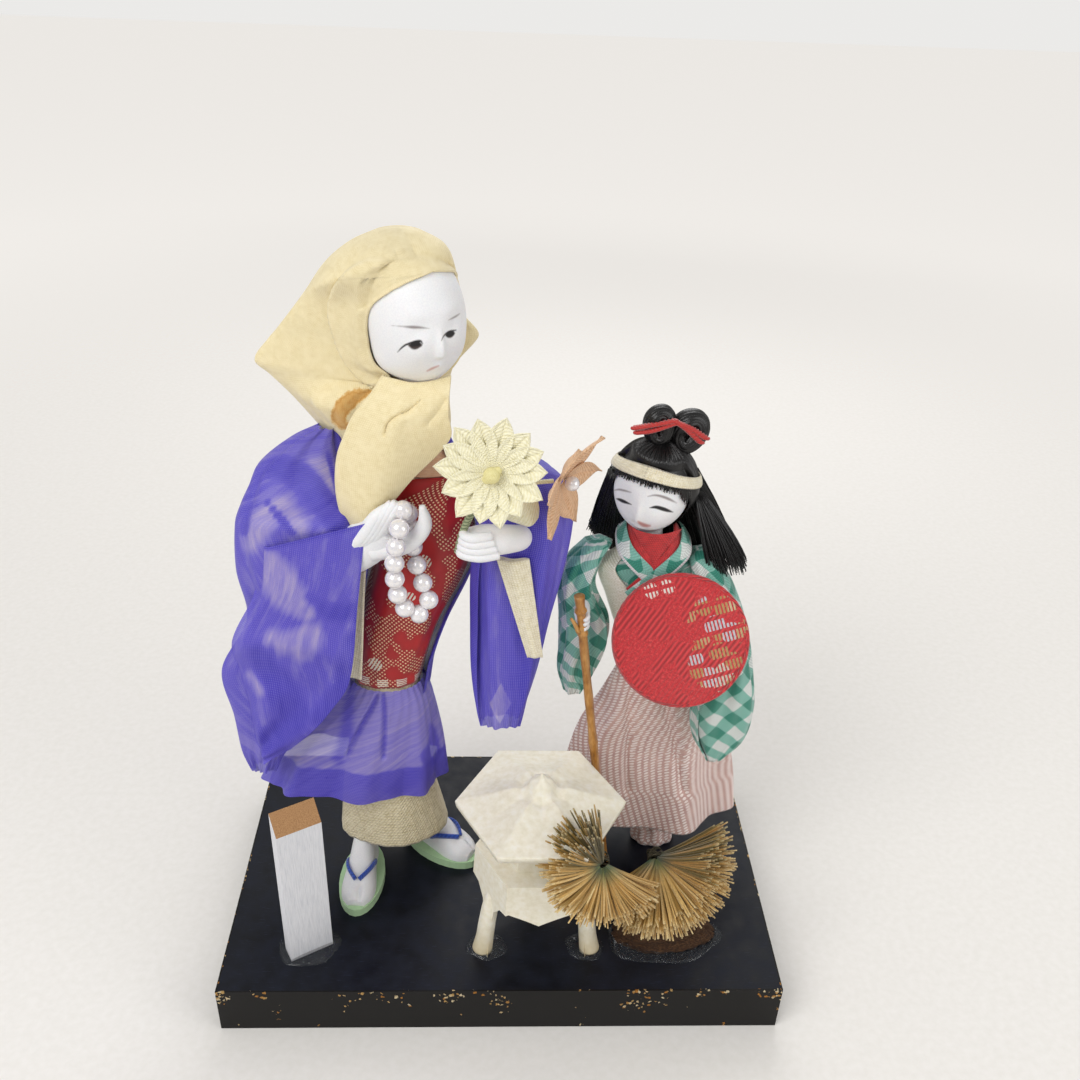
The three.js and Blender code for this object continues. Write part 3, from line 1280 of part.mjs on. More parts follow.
add(child, 'child_hand_right', cleared(childHand, stick), FINISHES.whiteClay);
add(
  child,
  'child_sleeve_right',
  cleared(childSleeveRight, stick, childHand, childBust, hairBody, childSkirt),
  FINISHES.checkCloth,
);
add(
  child,
  'child_sleeve_left',
  cleared(childSleeveLeft, hat, childBust, hairBody, childSkirt),
  FINISHES.checkCloth,
);
add(child, 'child_hat', cleared(hat, childBust), FINISHES.hatBrocade);

export default scene;
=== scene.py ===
# %% [markdown]
# # Two cloth dolls on a lacquered board
# A small souvenir: a hooded woman with a string of pearls and a child with a round hat
# stand on a black board beside a plaster lantern, a signpost and a tuft of straw needles.
# The CAD frame gives every solid its place. This file dresses it: soft pieces are made
# again as real cloth, hair and straw, and the hard ones keep their mesh and get a finish.

# %% the frame
import json
import math

import bpy
import numpy as np
from mathutils import Matrix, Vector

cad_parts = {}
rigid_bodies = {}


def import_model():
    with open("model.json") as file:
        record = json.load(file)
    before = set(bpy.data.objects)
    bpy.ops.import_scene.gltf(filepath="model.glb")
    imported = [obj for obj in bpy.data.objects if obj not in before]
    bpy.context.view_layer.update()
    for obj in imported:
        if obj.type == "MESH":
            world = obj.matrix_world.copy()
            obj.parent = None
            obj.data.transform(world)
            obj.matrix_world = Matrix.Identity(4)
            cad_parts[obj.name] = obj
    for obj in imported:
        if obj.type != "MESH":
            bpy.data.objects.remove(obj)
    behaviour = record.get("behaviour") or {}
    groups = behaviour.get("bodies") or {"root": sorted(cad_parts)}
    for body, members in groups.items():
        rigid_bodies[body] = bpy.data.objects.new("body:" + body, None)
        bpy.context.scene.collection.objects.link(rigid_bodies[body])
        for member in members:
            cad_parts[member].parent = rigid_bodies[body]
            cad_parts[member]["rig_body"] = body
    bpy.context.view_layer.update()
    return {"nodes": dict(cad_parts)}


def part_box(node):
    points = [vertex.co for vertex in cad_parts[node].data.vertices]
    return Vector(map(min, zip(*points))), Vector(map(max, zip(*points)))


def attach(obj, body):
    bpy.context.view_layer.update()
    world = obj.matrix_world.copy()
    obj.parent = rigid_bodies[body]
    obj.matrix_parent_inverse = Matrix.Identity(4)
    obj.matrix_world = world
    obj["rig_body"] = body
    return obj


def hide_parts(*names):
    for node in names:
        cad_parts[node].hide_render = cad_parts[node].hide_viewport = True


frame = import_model()
nodes = frame["nodes"]
MM = 0.001
TAU = 2 * math.pi
BOARD_TOP = 13.0
NUN_AT, CHILD_AT = np.array([-27.0, 0.0, BOARD_TOP]), np.array([38.0, 6.0, BOARD_TOP])
LANTERN_AT, PINE_AT = np.array([8.0, -20.0, BOARD_TOP]), np.array([39.0, -23.0, BOARD_TOP])

# %% [markdown]
# ## The camera
# The photograph was taken from in front and well above the board. The matrix turns the
# camera down by its pitch, then round by its yaw, with a small roll. The lens is written
# for a 36 mm sensor and a square picture of 1080 x 1080.

# %% camera
CAMERA_AT = np.array([-3.7, -197.8, 229.3])
YAW, PITCH, ROLL = np.radians([-2.94, -31.03, -2.33])
PICTURE, SENSOR = 1080, 36
FOCAL_SHARE = 1082 / PICTURE


def turn(axis, degrees):
    """Rotation matrix about one axis, 0 to 2: cosines on its plane's diagonal, sines across."""
    a, b = (axis + 1) % 3, (axis + 2) % 3
    made = np.eye(3)
    made[a, a] = made[b, b] = math.cos(math.radians(degrees))
    made[b, a] = math.sin(math.radians(degrees))
    made[a, b] = -made[b, a]
    return made


look = turn(2, math.degrees(YAW)) @ turn(0, math.degrees(PITCH)) @ turn(1, math.degrees(ROLL))
pose = np.eye(4)
pose[:3, 0], pose[:3, 1], pose[:3, 2], pose[:3, 3] = look[:, 0], look[:, 2], -look[:, 1], CAMERA_AT * MM
lens = bpy.data.cameras.new("photo_camera")
lens.sensor_width, lens.lens, lens.clip_start = SENSOR, SENSOR * FOCAL_SHARE, 0.01
camera = bpy.data.objects.new("photo_camera", lens)
camera.matrix_world = Matrix(pose.tolist())
bpy.context.scene.collection.objects.link(camera)
bpy.context.scene.camera = camera
print("Camera at", CAMERA_AT, "mm, lens", round(lens.lens, 2), "mm")

# %% [markdown]
# ## Colour and nodes
# Colours are written as they are read from a screen, as sRGB hex. One function turns them
# into the linear values that shaders work in. One material is built at a time: finish opens
# it, and the small functions below add nodes to it and return the socket to go on from.

# %% colour and node helpers
now = {}


def linear(colour):
    """Linear RGBA of an sRGB hex: each channel goes through the sRGB curve, bent near black."""
    part = np.array([int(colour[i:i + 2], 16) for i in (0, 2, 4)]) / 255
    value = np.where(part <= 0.04045, part / 12.92, ((part + 0.055) / 1.055) ** 2.4)
    return (*value.tolist(), 1.0)


def put(socket, value):
    """Links a socket from another one, or sets it to a value; a text is a hex colour."""
    if isinstance(value, bpy.types.NodeSocket):
        now["tree"].links.new(value, socket)
    else:
        socket.default_value = linear(value) if isinstance(value, str) else value


def finish(name, **sockets):
    """Opens a material of one Principled shader with these socket values, and returns it."""
    material = bpy.data.materials.new(name)
    material.use_nodes = True
    now["tree"] = material.node_tree
    now["shader"] = now["tree"].nodes["Principled BSDF"]
    for key, value in sockets.items():
        put(now["shader"].inputs[key.replace("_", " ")], value)
    return material


def add(kind, inputs=None, **settings):
    """Adds one node to the open tree. settings are its properties; inputs are values or sockets."""
    made = now["tree"].nodes.new("ShaderNode" + kind)
    for name, value in settings.items():
        setattr(made, name, value)
    for name, value in (inputs or {}).items():
        put(made.inputs[name], value)
    return made


def link(socket, name="Base Color"):
    """Links a socket to an input of the open shader."""
    put(now["shader"].inputs[name], socket)


def calc(operation, *values):
    """A Math node on these values; returns its result."""
    return add("Math", dict(enumerate(values)), operation=operation).outputs[0]


def remap(value, span, to, **settings):
    """The value carried from one span of numbers to another, held at the ends."""
    ends = {"From Min": span[0], "From Max": span[1], "To Min": to[0], "To Max": to[1]}
    return add("MapRange", {"Value": value, **ends}, **settings).outputs["Result"]


def ramp(factor, stops):
    """A colour ramp from (place, hex) stops; returns its colour."""
    made = add("ValToRGB", {"Fac": factor})
    keys = made.color_ramp.elements
    while len(keys) < len(stops):
        keys.new(0.5)
    for key, (place_on, colour) in zip(keys, stops):
        key.position, key.color = place_on, linear(colour)
    return made.outputs["Color"]


def blend(factor, first, second, kind="MIX"):
    """Mix of two colours by a factor; returns the result."""
    made = add("Mix", {0: factor}, data_type="RGBA", blend_type=kind, clamp_factor=True)
    put(made.inputs[6], first)
    put(made.inputs[7], second)
    return made.outputs[2]


def place(scale=(1, 1, 1), spin=0.0, cloth=False):
    """Coordinates of a pattern, mapped: the object's in metres, or the cloth's UV map in millimetres."""
    start = add("UVMap", uv_map="cloth").outputs["UV"] if cloth else add("TexCoord").outputs["Object"]
    return add("Mapping", {"Vector": start, "Scale": scale, "Rotation": (0, 0, spin)}).outputs["Vector"]


def axes(vector):
    """The X, Y and Z of a vector."""
    return add("SeparateXYZ", {"Vector": vector}).outputs


def per_mm(size):
    """Scale that makes one unit of a pattern this many millimetres, from coordinates in metres."""
    return (1 / (size * MM),) * 3


def noise(scale, detail, rough=0.5, cloth=False, spin=0.0, **more):
    """Noise of a size in millimetres, or of a scale on three axes; on cloth it follows the UV map."""
    where = place(scale if isinstance(scale, tuple) else per_mm(scale), spin, cloth)
    if cloth:
        more["Scale"] = 1.0
    return add("TexNoise", {"Vector": where, "Detail": detail, "Roughness": rough, **more}).outputs["Fac"]


def stripes(scale, axis, spin=0.0, **more):
    """Soft stripes on the cloth, one after another along an axis."""
    where = more.pop("where", None) or place(spin=spin, cloth=True)
    return add("TexWave", {"Vector": where, "Scale": scale, **more}, bands_direction=axis).outputs["Fac"]


def threads(size):
    """Scale of a wave whose stripes lie this many millimetres apart: a wave's own period is tau / 20."""
    return TAU / (20 * size)


def bump(height, distance, strength=1.0):
    """Links a height to the shader's normal; distance is its real depth in millimetres."""
    made = add("Bump", {"Height": height, "Distance": distance * MM, "Strength": strength})
    link(made.outputs["Normal"], "Normal")


def dress(material, *names):
    """Gives CAD nodes a new finish and keeps their mesh."""
    for name in names:
        nodes[name].data.materials[0] = material
    print("Finish", material.name, "on", ", ".join(names))


print("One metre holds", per_mm(1.0)[0], "millimetres")

# %% [markdown]
# ## Shapes from numbers
# Every new piece is a grid of points worked out from two parameters, or a profile carried
# along a path. These helpers turn such arrays into meshes and give them a UV map in
# millimetres along the cloth, so that a weave keeps its real thread spacing.


# %% mesh helpers
def quads(rows, columns, around=False):
    """Corner numbers of a grid's faces; around joins the last column to the first."""
    r, c = np.meshgrid(np.arange(rows - 1), np.arange(columns if around else columns - 1),
                       indexing="ij")
    right = (c + 1) % columns
    return np.stack([r * columns + c, r * columns + right, (r + 1) * columns + right,
                     (r + 1) * columns + c], -1).reshape(-1, 4)


def arc_lengths(grid, axis):
    """Distance along the grid from its first row or column, as running sums of step lengths."""
    step = np.linalg.norm(np.diff(grid, axis=axis), axis=-1)
    start = np.zeros_like(np.take(step, [0], axis=axis))
    return np.concatenate([start, np.cumsum(step, axis=axis)], axis=axis)


def piece(name, parts, material, replaces=(), body="figure_group", smooth=True):
    """One object from (points in mm, faces, uv or None) parts, set in metres in the CAD frame."""
    points, faces, uvs, count = [], [], [], 0
    for part_points, part_faces, uv in parts:
        flat = np.asarray(part_points, float).reshape(-1, 3)
        points.append(flat)
        for block in part_faces if isinstance(part_faces, list) else [part_faces]:
            faces.extend((block + count).tolist())
        uvs.append(np.zeros((len(flat), 2)) if uv is None else np.asarray(uv, float).reshape(-1, 2))
        count += len(flat)
    mesh = bpy.data.meshes.new(name)
    mesh.from_pydata((np.concatenate(points) * MM).tolist(), [], faces)
    layer = mesh.uv_layers.new(name="cloth")
    corner = np.zeros(len(mesh.loops), np.int32)
    mesh.loops.foreach_get("vertex_index", corner)
    layer.data.foreach_set("uv", np.concatenate(uvs)[corner].astype(np.float32).ravel())
    mesh.polygons.foreach_set("use_smooth", np.full(len(mesh.polygons), smooth))
    mesh.materials.append(material)
    mesh.update()
    made = bpy.data.objects.new(name, mesh)
    bpy.context.scene.collection.objects.link(made)
    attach(made, body)
    if replaces:
        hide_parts(*replaces)
    return made


def surface(grid, around=False):
    """A part from a grid of points (rows, columns, 3) with UV in mm: across, then along."""
    wide = np.concatenate([grid, grid[:, :1]], axis=1) if around else grid
    across = arc_lengths(wide, 1)[:, :grid.shape[1]]
    along = arc_lengths(grid, 0)
    return grid, quads(grid.shape[0], grid.shape[1], around), np.stack([across, along], -1)


def between(rows, t):
    """Values between table rows: a cubic that passes each row with the slope of its neighbours."""
    rows = np.asarray(rows, float)
    t = np.clip(np.asarray(t, float), rows[0, 0], rows[-1, 0])
    k = np.clip(np.searchsorted(rows[:, 0], t, side="left") - 1, 0, len(rows) - 2)
    last = len(rows) - 1
    a, b, c, d = rows[np.clip(k - 1, 0, last)], rows[k], rows[k + 1], rows[np.clip(k + 2, 0, last)]
    span = (c[..., :1] - b[..., :1])
    s = (t[..., None] - b[..., :1]) / span
    m0 = (c - a) / (c[..., :1] - a[..., :1]) * span
    m1 = (d - b) / (d[..., :1] - b[..., :1]) * span
    value = (b * (2 * s**3 - 3 * s**2 + 1) + m0 * (s**3 - 2 * s**2 + s)
             + c * (3 * s**2 - 2 * s**3) + m1 * (s**3 - s**2))
    return value[..., 1:]


def oval(rows, height, angle, out=0.0, power=2.0):
    """Point of a lofted oval: at each height an ellipse, squared off by power, grown by out."""
    left, right, front, back = np.moveaxis(between(rows, height), -1, 0)
    c, s = np.cos(angle), np.sin(angle)
    x = (left + right) / 2 + ((right - left) / 2 + out) * np.sign(c) * np.abs(c) ** (2 / power)
    y = (front + back) / 2 + ((back - front) / 2 + out) * np.sign(s) * np.abs(s) ** (2 / power)
    return np.stack([x, y, np.broadcast_to(height, x.shape)], -1)


def grid_of(rows, columns, around=False):
    """Two parameters on a grid, each from 0 to 1: v down the rows and u across the columns."""
    v, u = np.meshgrid(np.linspace(0, 1, rows),
                       np.linspace(0, 1, columns, endpoint=not around), indexing="ij")
    return v, u


def resample(rows, count):
    """Count points on the smooth curve through a table's rows, at equal steps of the row number."""
    rows = np.asarray(rows, float)
    return between(np.column_stack([np.arange(len(rows)), rows]), np.linspace(0, len(rows) - 1, count))


def unit(vectors):
    """Vectors of length one in the same directions."""
    return vectors / np.linalg.norm(vectors, axis=-1, keepdims=True)


def circle(count):
    """Angles at equal steps once round."""
    return np.linspace(0, TAU, count, endpoint=False)


def sweep(path, radii, sides=8, samples=None, flat=1.0, at=0.0):
    """A tube: an oval profile carried along a smoothed path; its ends close to points."""
    radii = np.broadcast_to(np.asarray(radii, float), len(path))
    row = resample(np.column_stack([np.asarray(path, float) + at, radii]), samples or 4 * len(path))
    row = np.concatenate([row[:1], row, row[-1:]])
    line, r = row[:, :3], row[:, 3].copy()
    r[[0, -1]] = 0.0
    tangent = np.gradient(line, axis=0)
    tangent[0], tangent[-1] = line[2] - line[1], line[-2] - line[-3]
    tangent = unit(tangent)
    up = np.where(np.abs(tangent[:, 2:3]) > 0.9, [[1.0, 0.0, 0.0]], [[0.0, 0.0, 1.0]])
    side = unit(np.cross(tangent, up[len(up) // 2]))
    over = np.cross(side, tangent)
    a = circle(sides)
    ring = (np.cos(a)[None, :, None] * side[:, None] + flat * np.sin(a)[None, :, None] * over[:, None])
    return surface(line[:, None] + ring * r[:, None, None], around=True)


def capped(grid, both=False):
    """Rings drawn in to their middle point at the foot, and at the top too where both is set."""
    rings = [grid[:1], grid[-1:]] if both else [grid[:1]]
    ends = [np.broadcast_to(ring.mean(1, keepdims=True), ring.shape) for ring in rings]
    return np.concatenate([ends[0], grid, *ends[1:]])


def smooth_step(low, high, value):
    """0 below low, 1 above high, and an S curve between."""
    t = np.clip((value - low) / (high - low), 0, 1)
    return t * t * (3 - 2 * t)


def number_at(made, label, values):
    """Writes one number for each of the first points of a mesh, as an attribute; the rest get 0."""
    full = np.zeros(len(made.data.vertices), np.float32)
    full[:np.size(values)] = np.ravel(values)
    made.data.attributes.new(label, "FLOAT", "POINT").data.foreach_set("value", full)


print("A grid of 3 by 4 points has", len(quads(3, 4)), "faces")

# %% [markdown]
# ## The studio
# A pale floor with a soft edge, one large soft lamp above the front, a weaker one from the
# right and one behind. The world is bright to the camera and softer to the object, at a
# level where a colour renders about as it is written.

# %% floor and world
def seen_directly():
    """1 for a ray from the camera, also through a clear piece, and 0 for the light's own rays."""
    rays = add("LightPath").outputs
    return calc("MAXIMUM", rays["Is Camera Ray"], rays["Is Transmission Ray"])


FLOOR_WIDTH, FLOOR_DROP = 4000, 0.2
floor_material = finish("pale_studio_paper", Roughness=0.9, Emission_Color="f4f1ee")
link(ramp(noise(9, 4.0), [(0.3, "e7e4df"), (0.7, "ece9e5")]))
away = add("VectorMath", {0: place()}, operation="LENGTH").outputs["Value"]
far = remap(away, (0.1, 0.75), (0.0, 0.42), interpolation_type="SMOOTHSTEP")
link(calc("MULTIPLY", far, seen_directly()), "Emission Strength")
v, u = grid_of(2, 2)
floor_grid = np.stack([(u - 0.5) * FLOOR_WIDTH, (v - 0.5) * FLOOR_WIDTH, 0 * u - FLOOR_DROP], -1)
floor = piece("studio_floor", [surface(floor_grid)], floor_material)
floor.parent = None
del floor["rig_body"]

world = bpy.data.worlds.new("studio_world")
bpy.context.scene.world = world
world.use_nodes = True
now["tree"], now["shader"] = world.node_tree, world.node_tree.nodes["Background"]
link(remap(seen_directly(), (0.0, 1.0), (0.6, 0.92)), "Strength")
put(now["shader"].inputs["Color"], "f4f3f1")
print("Floor", FLOOR_WIDTH, "mm across, world", world.name)

# %% [markdown]
# A lamp is a square that looks from its place to a point on the group.


# %% lamps
def lamp(name, at, aim_height, size, power):
    """A square soft lamp at a point in millimetres, turned to a height above the board's middle."""
    light = bpy.data.lights.new(name, "AREA")
    light.size, light.energy = size * MM, power
    made = bpy.data.objects.new(name, light)
    back = unit(np.array(at, float) - (0, 0, aim_height))
    side = unit(np.cross([0, 0, 1], back))
    turned = np.eye(4)
    turned[:3, 0], turned[:3, 1], turned[:3, 2] = side, np.cross(back, side), back
    turned[:3, 3] = np.array(at) * MM
    made.matrix_world = Matrix(turned.tolist())
    bpy.context.scene.collection.objects.link(made)


lamp("key_lamp", (-260, -300, 460), 80, 320, 1.5)
lamp("fill_lamp", (360, -220, 240), 70, 260, 0.45)
lamp("back_lamp", (60, 330, 340), 90, 260, 0.6)
bpy.context.scene.view_settings.view_transform = "Standard"

# %% [markdown]
# ## The board
# The board is wood under black lacquer. Its top is matt, with rubbed scratches and pale
# dust. Both of its solids are right as they are, so they keep their mesh.

# %% lacquered top
lacquer = finish("black_lacquer_rubbed", Specular_IOR_Level=0.22)
dust, cloudy = noise(0.9, 6.0, 0.7), noise(22, 5.0)
streaks = noise((1 / 0.016, 1 / 0.0009, 1 / 0.016), 4.0, spin=0.5)
base = ramp(cloudy, [(0.3, "0b0d14"), (0.75, "161a26")])
dusty = blend(ramp(dust, [(0.66, "000000"), (0.72, "ffffff")]), base, "434858")
link(blend(ramp(streaks, [(0.63, "000000"), (0.7, "ffffff")]), dusty, "232838"))
link(ramp(cloudy, [(0.3, "a0a0a0"), (0.7, "c4c4c4")]), "Roughness")
bump(dust, 0.06, 0.4)
dress(lacquer, "base_board")

# %% [markdown]
# The sides are wrapped in black paper flecked with gold leaf. Leaf flecks are crumbs of
# many sizes, which Voronoi cells give when only a few are let through, more near the top.

# %% flecked side paper
paper = finish("gold_flecked_black_paper", Roughness=0.5, Specular_IOR_Level=0.25)
flakes = add("TexVoronoi", {"Vector": place(per_mm(0.62)), "Randomness": 1.0, "Scale": 1.0})
chosen = add("SeparateColor", {"Color": flakes.outputs["Color"]}).outputs
few = calc("MULTIPLY", chosen["Red"], noise(6, 3.0, 0.6, Scale=1.0))
few = calc("ADD", few, remap(axes(place())["Z"], (0.002, 0.0125), (-0.13, 0.03)))
ragged = calc("GREATER_THAN", noise(0.35, 3.0), 0.44)
leaf_mask = calc("MULTIPLY", calc("GREATER_THAN", few, 0.5), ragged)
leaf_colour = ramp(chosen["Green"], [(0.1, "c2873c"), (0.45, "dcb878"), (0.9, "efe0bc")])
link(blend(leaf_mask, "0a0807", leaf_colour))
link(leaf_mask, "Metallic")
bump(leaf_mask, 0.05, 0.6)
dress(paper, "base_side_band")

# %% [markdown]
# ## The signpost
# A slip of wood brushed with thin white paint, so the grain still shows through, and cut
# bare and slanted at the top. The writing on the real one is left out. Bare wood shows
# where the face looks up, which the Geometry node's normal tells.

# %% whitewashed wood
whitewash = finish("whitewashed_cedar", Roughness=0.7)
fibre, brush = noise((1 / 0.0007, 1 / 0.0007, 1 / 0.02), 5.0, 0.65), noise(4, 3.0)
painted = ramp(fibre, [(0.3, "c9cbd2"), (0.5, "dcdde2"), (0.7, "e8e8ec")])
painted = blend(ramp(brush, [(0.45, "000000"), (0.8, "555555")]), painted, "cfc8bd")
rings = ramp(fibre, [(0.3, "7d5532"), (0.5, "a87d50"), (0.75, "c79f72")])
up = axes(add("NewGeometry").outputs["Normal"])["Z"]
bare = calc("ADD", up, calc("MULTIPLY_ADD", brush, -0.25, 0.12))
link(blend(calc("GREATER_THAN", bare, 0.5), painted, rings))
bump(fibre, 0.12, 0.6)
dress(whitewash, "sign_post")

# %% [markdown]
# ## The plaster lantern
# Cast plaster, cream with a faint yellow, turning darker and yellower towards the feet. Fine pits
# and a soft sheen show that it was cast in a rubber mould. The stand and the fire box keep
# their solids, and a rounded leg of the same plaster goes round each pointed one.

# %% cast plaster
plaster = finish("cast_cream_plaster", Roughness=0.62, Subsurface_Weight=0.08,
                 Subsurface_Radius=(0.004, 0.003, 0.002))
pits = noise(0.5, 6.0, 0.75)
cream = ramp(noise(7, 4.0), [(0.3, "e3dcc6"), (0.5, "ebe5d2"), (0.72, "f0ecdf")])
speckled = blend(0.45, cream, ramp(pits, [(0.27, "b3a688"), (0.36, "ffffff")]), "MULTIPLY")
# Darker and yellower over the lowest 9 mm, down to the board.
low_down = remap(axes(place())["Z"], (0.013, 0.022), (0.75, 0.0))
link(blend(low_down, speckled, "cdb98a"))
bump(pits, 0.07, 0.4)
dress(plaster, "lantern_stand", "lantern_firebox")
LEG_LINE = [(9.6, 22, 0.9), (12.1, 16, 1.8), (13.3, 10, 2.0), (14.0, 4.5, 2.1), (14.7, 0.3, 2.4)]
legs = []
for toward in np.radians([210, 330, 90]):
    way = np.array([math.cos(toward), math.sin(toward), 0])
    leg = [LANTERN_AT + way * out + [0, 0, height] for out, height, radius in LEG_LINE]
    legs.append(sweep(leg, [radius for out, height, radius in LEG_LINE], sides=20, samples=40))
piece("lantern_rounded_legs", legs, plaster)

# %% [markdown]
# The roof is hexagonal. Its six ridges sink a little between rim and boss, each face sags
# between its ridges, and a round boss with a drawn-up point stands on top. So the roof is a
# height over angle and distance: the hexagon's radius times a share, and a fall that eases.

# %% lantern roof
ROOF_HEIGHT, ROOF_RADIUS, ROOF_RIM, ROOF_RISE = 38.5, 19.2, 2.2, 6.4
BOSS_RADIUS, BOSS_HEIGHT = 3.0, 3.2


def roof_top(share, angle):
    """Roof point: radius is the hexagon's, height falls as a softened cone, sagging mid-face."""
    sector = angle % (math.pi / 3) - math.pi / 6
    edge = ROOF_RADIUS * math.cos(math.pi / 6) / np.cos(sector)
    near_ridge = (1 - np.abs(sector) / (math.pi / 6))
    fall = ROOF_RISE * (1 - np.maximum(share, 0.16)) ** 1.15
    sag = -0.55 * np.sin(math.pi * share) * near_ridge
    moat = -0.9 * np.exp(-((share * edge - 4.3) / 1.3) ** 2)
    boss = BOSS_HEIGHT * 0.55 * np.sqrt(np.clip(1 - (share * edge / BOSS_RADIUS) ** 2, 0, 1)) + moat
    tip = BOSS_HEIGHT * 0.45 * np.exp(-(share * edge / 0.75) ** 2)
    return np.stack([share * edge * np.cos(angle), share * edge * np.sin(angle),
                     ROOF_RIM + fall + sag + boss + tip], -1)


v, u = grid_of(60, 144, around=True)
top = roof_top(v ** 0.8, TAU * u)
rim = top[-1:]
rings = [top, rim * [1.002, 1.002, 1] - [0, 0, 0.45]]
for share, height in ((0.985, 0.25), (0.91605, 0.0), (0.018321, 0.0)):
    rings.append(rim * [share, share, 0] + [0, 0, height])
roof_grid = np.concatenate(rings) + LANTERN_AT + [0, 0, ROOF_HEIGHT]
piece("plaster_roof", [surface(roof_grid, around=True)], plaster, ["lantern_roof"])
print("Roof box:", roof_grid.reshape(-1, 3).min(0).round(1), roof_grid.reshape(-1, 3).max(0).round(1))

# %% [markdown]
# ## Glue, bark and straw
# The maker fixed everything with clear glue, which dried in domed puddles with a raised
# lip. A puddle is a wobbly circle whose height falls to its edge like the side of a drop.

# %% dried glue
glue = finish("clear_dried_glue", Roughness=0.1, IOR=1.6, Coat_Weight=1.0, Coat_Roughness=0.04, Alpha=0.34)
skin = noise(1.6, 3.0)
link(ramp(skin, [(0.35, "15191f"), (0.62, "2c333b"), (0.72, "c5ccd0")]))
bump(skin, 0.5, 0.8)


def puddle(name, wobble):
    """Radius wobbles with the angle; height is a root curve to the edge, with a lip of its own."""
    low, high = (np.array(corner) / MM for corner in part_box(name))
    centre, half = (low + high) / 2, (high - low) / 2
    v, u = grid_of(14, 48, around=True)
    a = TAU * u
    reach = v * (1 + 0.06 * np.sin(2 * a + wobble) + 0.05 * np.sin(5 * a + 2 * wobble))
    height = 0.9 * (1 - v ** 4) * (0.55 + 0.45 * np.sin(2.4 * v + 0.3)) + 0.05
    top = np.stack([centre[0] + half[0] * reach * np.cos(a),
                    centre[1] + half[1] * reach * np.sin(a), BOARD_TOP + height], -1)
    foot = top[-1:].copy()
    foot[..., 2] = BOARD_TOP
    grid = np.concatenate([top, foot])
    piece(name + "_puddle", [surface(grid, around=True)], glue, [name])


GLUED = ("glue_sign", "glue_lantern_left", "glue_lantern_right", "glue_lantern_back", "glue_pine")
for number, name in enumerate(GLUED):
    puddle(name, 1.7 * number)
print("Glue puddles:", len(GLUED))

# %% [markdown]
# The tufts stand in a lump of bark. Bark breaks into plates with deep cracks between them,
# so the lump is a low dome roughened by sharp-bottomed waves of several sizes.

# %% bark
bark = finish("pine_bark_weathered", Roughness=0.85)
flaky = noise((300, 300, 1400), 6.0, 0.7)
link(ramp(flaky, [(0.3, "24140a"), (0.5, "4e321c"), (0.68, "7a5634"), (0.8, "94714c")]))
bump(flaky, 0.9, 0.9)


def bark_point(v, a):
    """Dome point: an oval ring that draws in with height, cut by |sine| cracks along the ring."""
    rise = np.sin(v * math.pi / 2)
    ring = np.cos(v * math.pi / 2) ** 0.6
    crack = (np.abs(np.sin(4 * a + 2.2 * v)) ** 0.4 + np.abs(np.sin(9 * a - 5 * v + 1)) ** 0.5
             + 0.6 * np.abs(np.sin(17 * a + 9 * v)) ** 0.6)
    rough = 0.86 + 0.07 * crack
    layer = 0.35 * np.sin(11 * rise + 2 * np.sin(2 * a))
    return np.stack([12.2 * ring * rough * np.cos(a) + layer * np.cos(a),
                     5.9 * ring * rough * np.sin(a) + layer * np.sin(a),
                     6.3 * rise * (0.82 + 0.1 * np.sin(3 * a + 1) * (1 - v))], -1)


v, u = grid_of(30, 120, around=True)
bark_grid = bark_point(v, TAU * u) + PINE_AT
bark_foot = bark_grid[:1].copy()
bark_foot[..., :2] = PINE_AT[:2]
bark_grid = np.concatenate([bark_foot, bark_grid])
piece("bark_lump", [surface(bark_grid, around=True)], bark, ["pine_bark"])
print("Bark lump rises to", bark_grid[..., 2].max().round(1), "mm")

# %% [markdown]
# Each tuft is a fan of cut straw, tied at a knot. One bristle is a three-sided tapered
# rod bent along a curve of three control points; hundreds are made at once as one array.
# Its UV map holds a tone number across, drawn by chance and lowered for bristles that point
# up as painted shade, and the way from knot to tip along, from which the material takes the
# green-blue dye near the knot, the gold of the straw, darker where the number is low, and a pale tip.

# %% straw bristles
straw = finish("dyed_straw_bristle", Roughness=0.48, Sheen_Weight=0.2)
along = axes(add("UVMap", uv_map="cloth").outputs["UV"])
# Low numbers across give the darker gold and dye, which also carry the painted shade of the upward bristles.
gold = ramp(along["X"], [(0.0, "55502a"), (0.25, "8a7436"), (0.4, "b98d44"), (0.7, "d8ae60"),
                         (1.0, "ecd196")])
dye = ramp(along["X"], [(0.0, "2f3a24"), (0.5, "4c6a55"), (1.0, "78854c")])
tint = blend(ramp(along["Y"], [(0.08, "ffffff"), (0.42, "000000")]), gold, dye)
tint = blend(ramp(along["Y"], [(0.95, "000000"), (0.98, "b0b0b0")]), tint, "ead9a8")
link(blend(ramp(noise(0.8, 3.0), [(0.4, "c4c4c4"), (0.6, "ffffff")]), "7a6238", tint))
chance = np.random.default_rng(26)


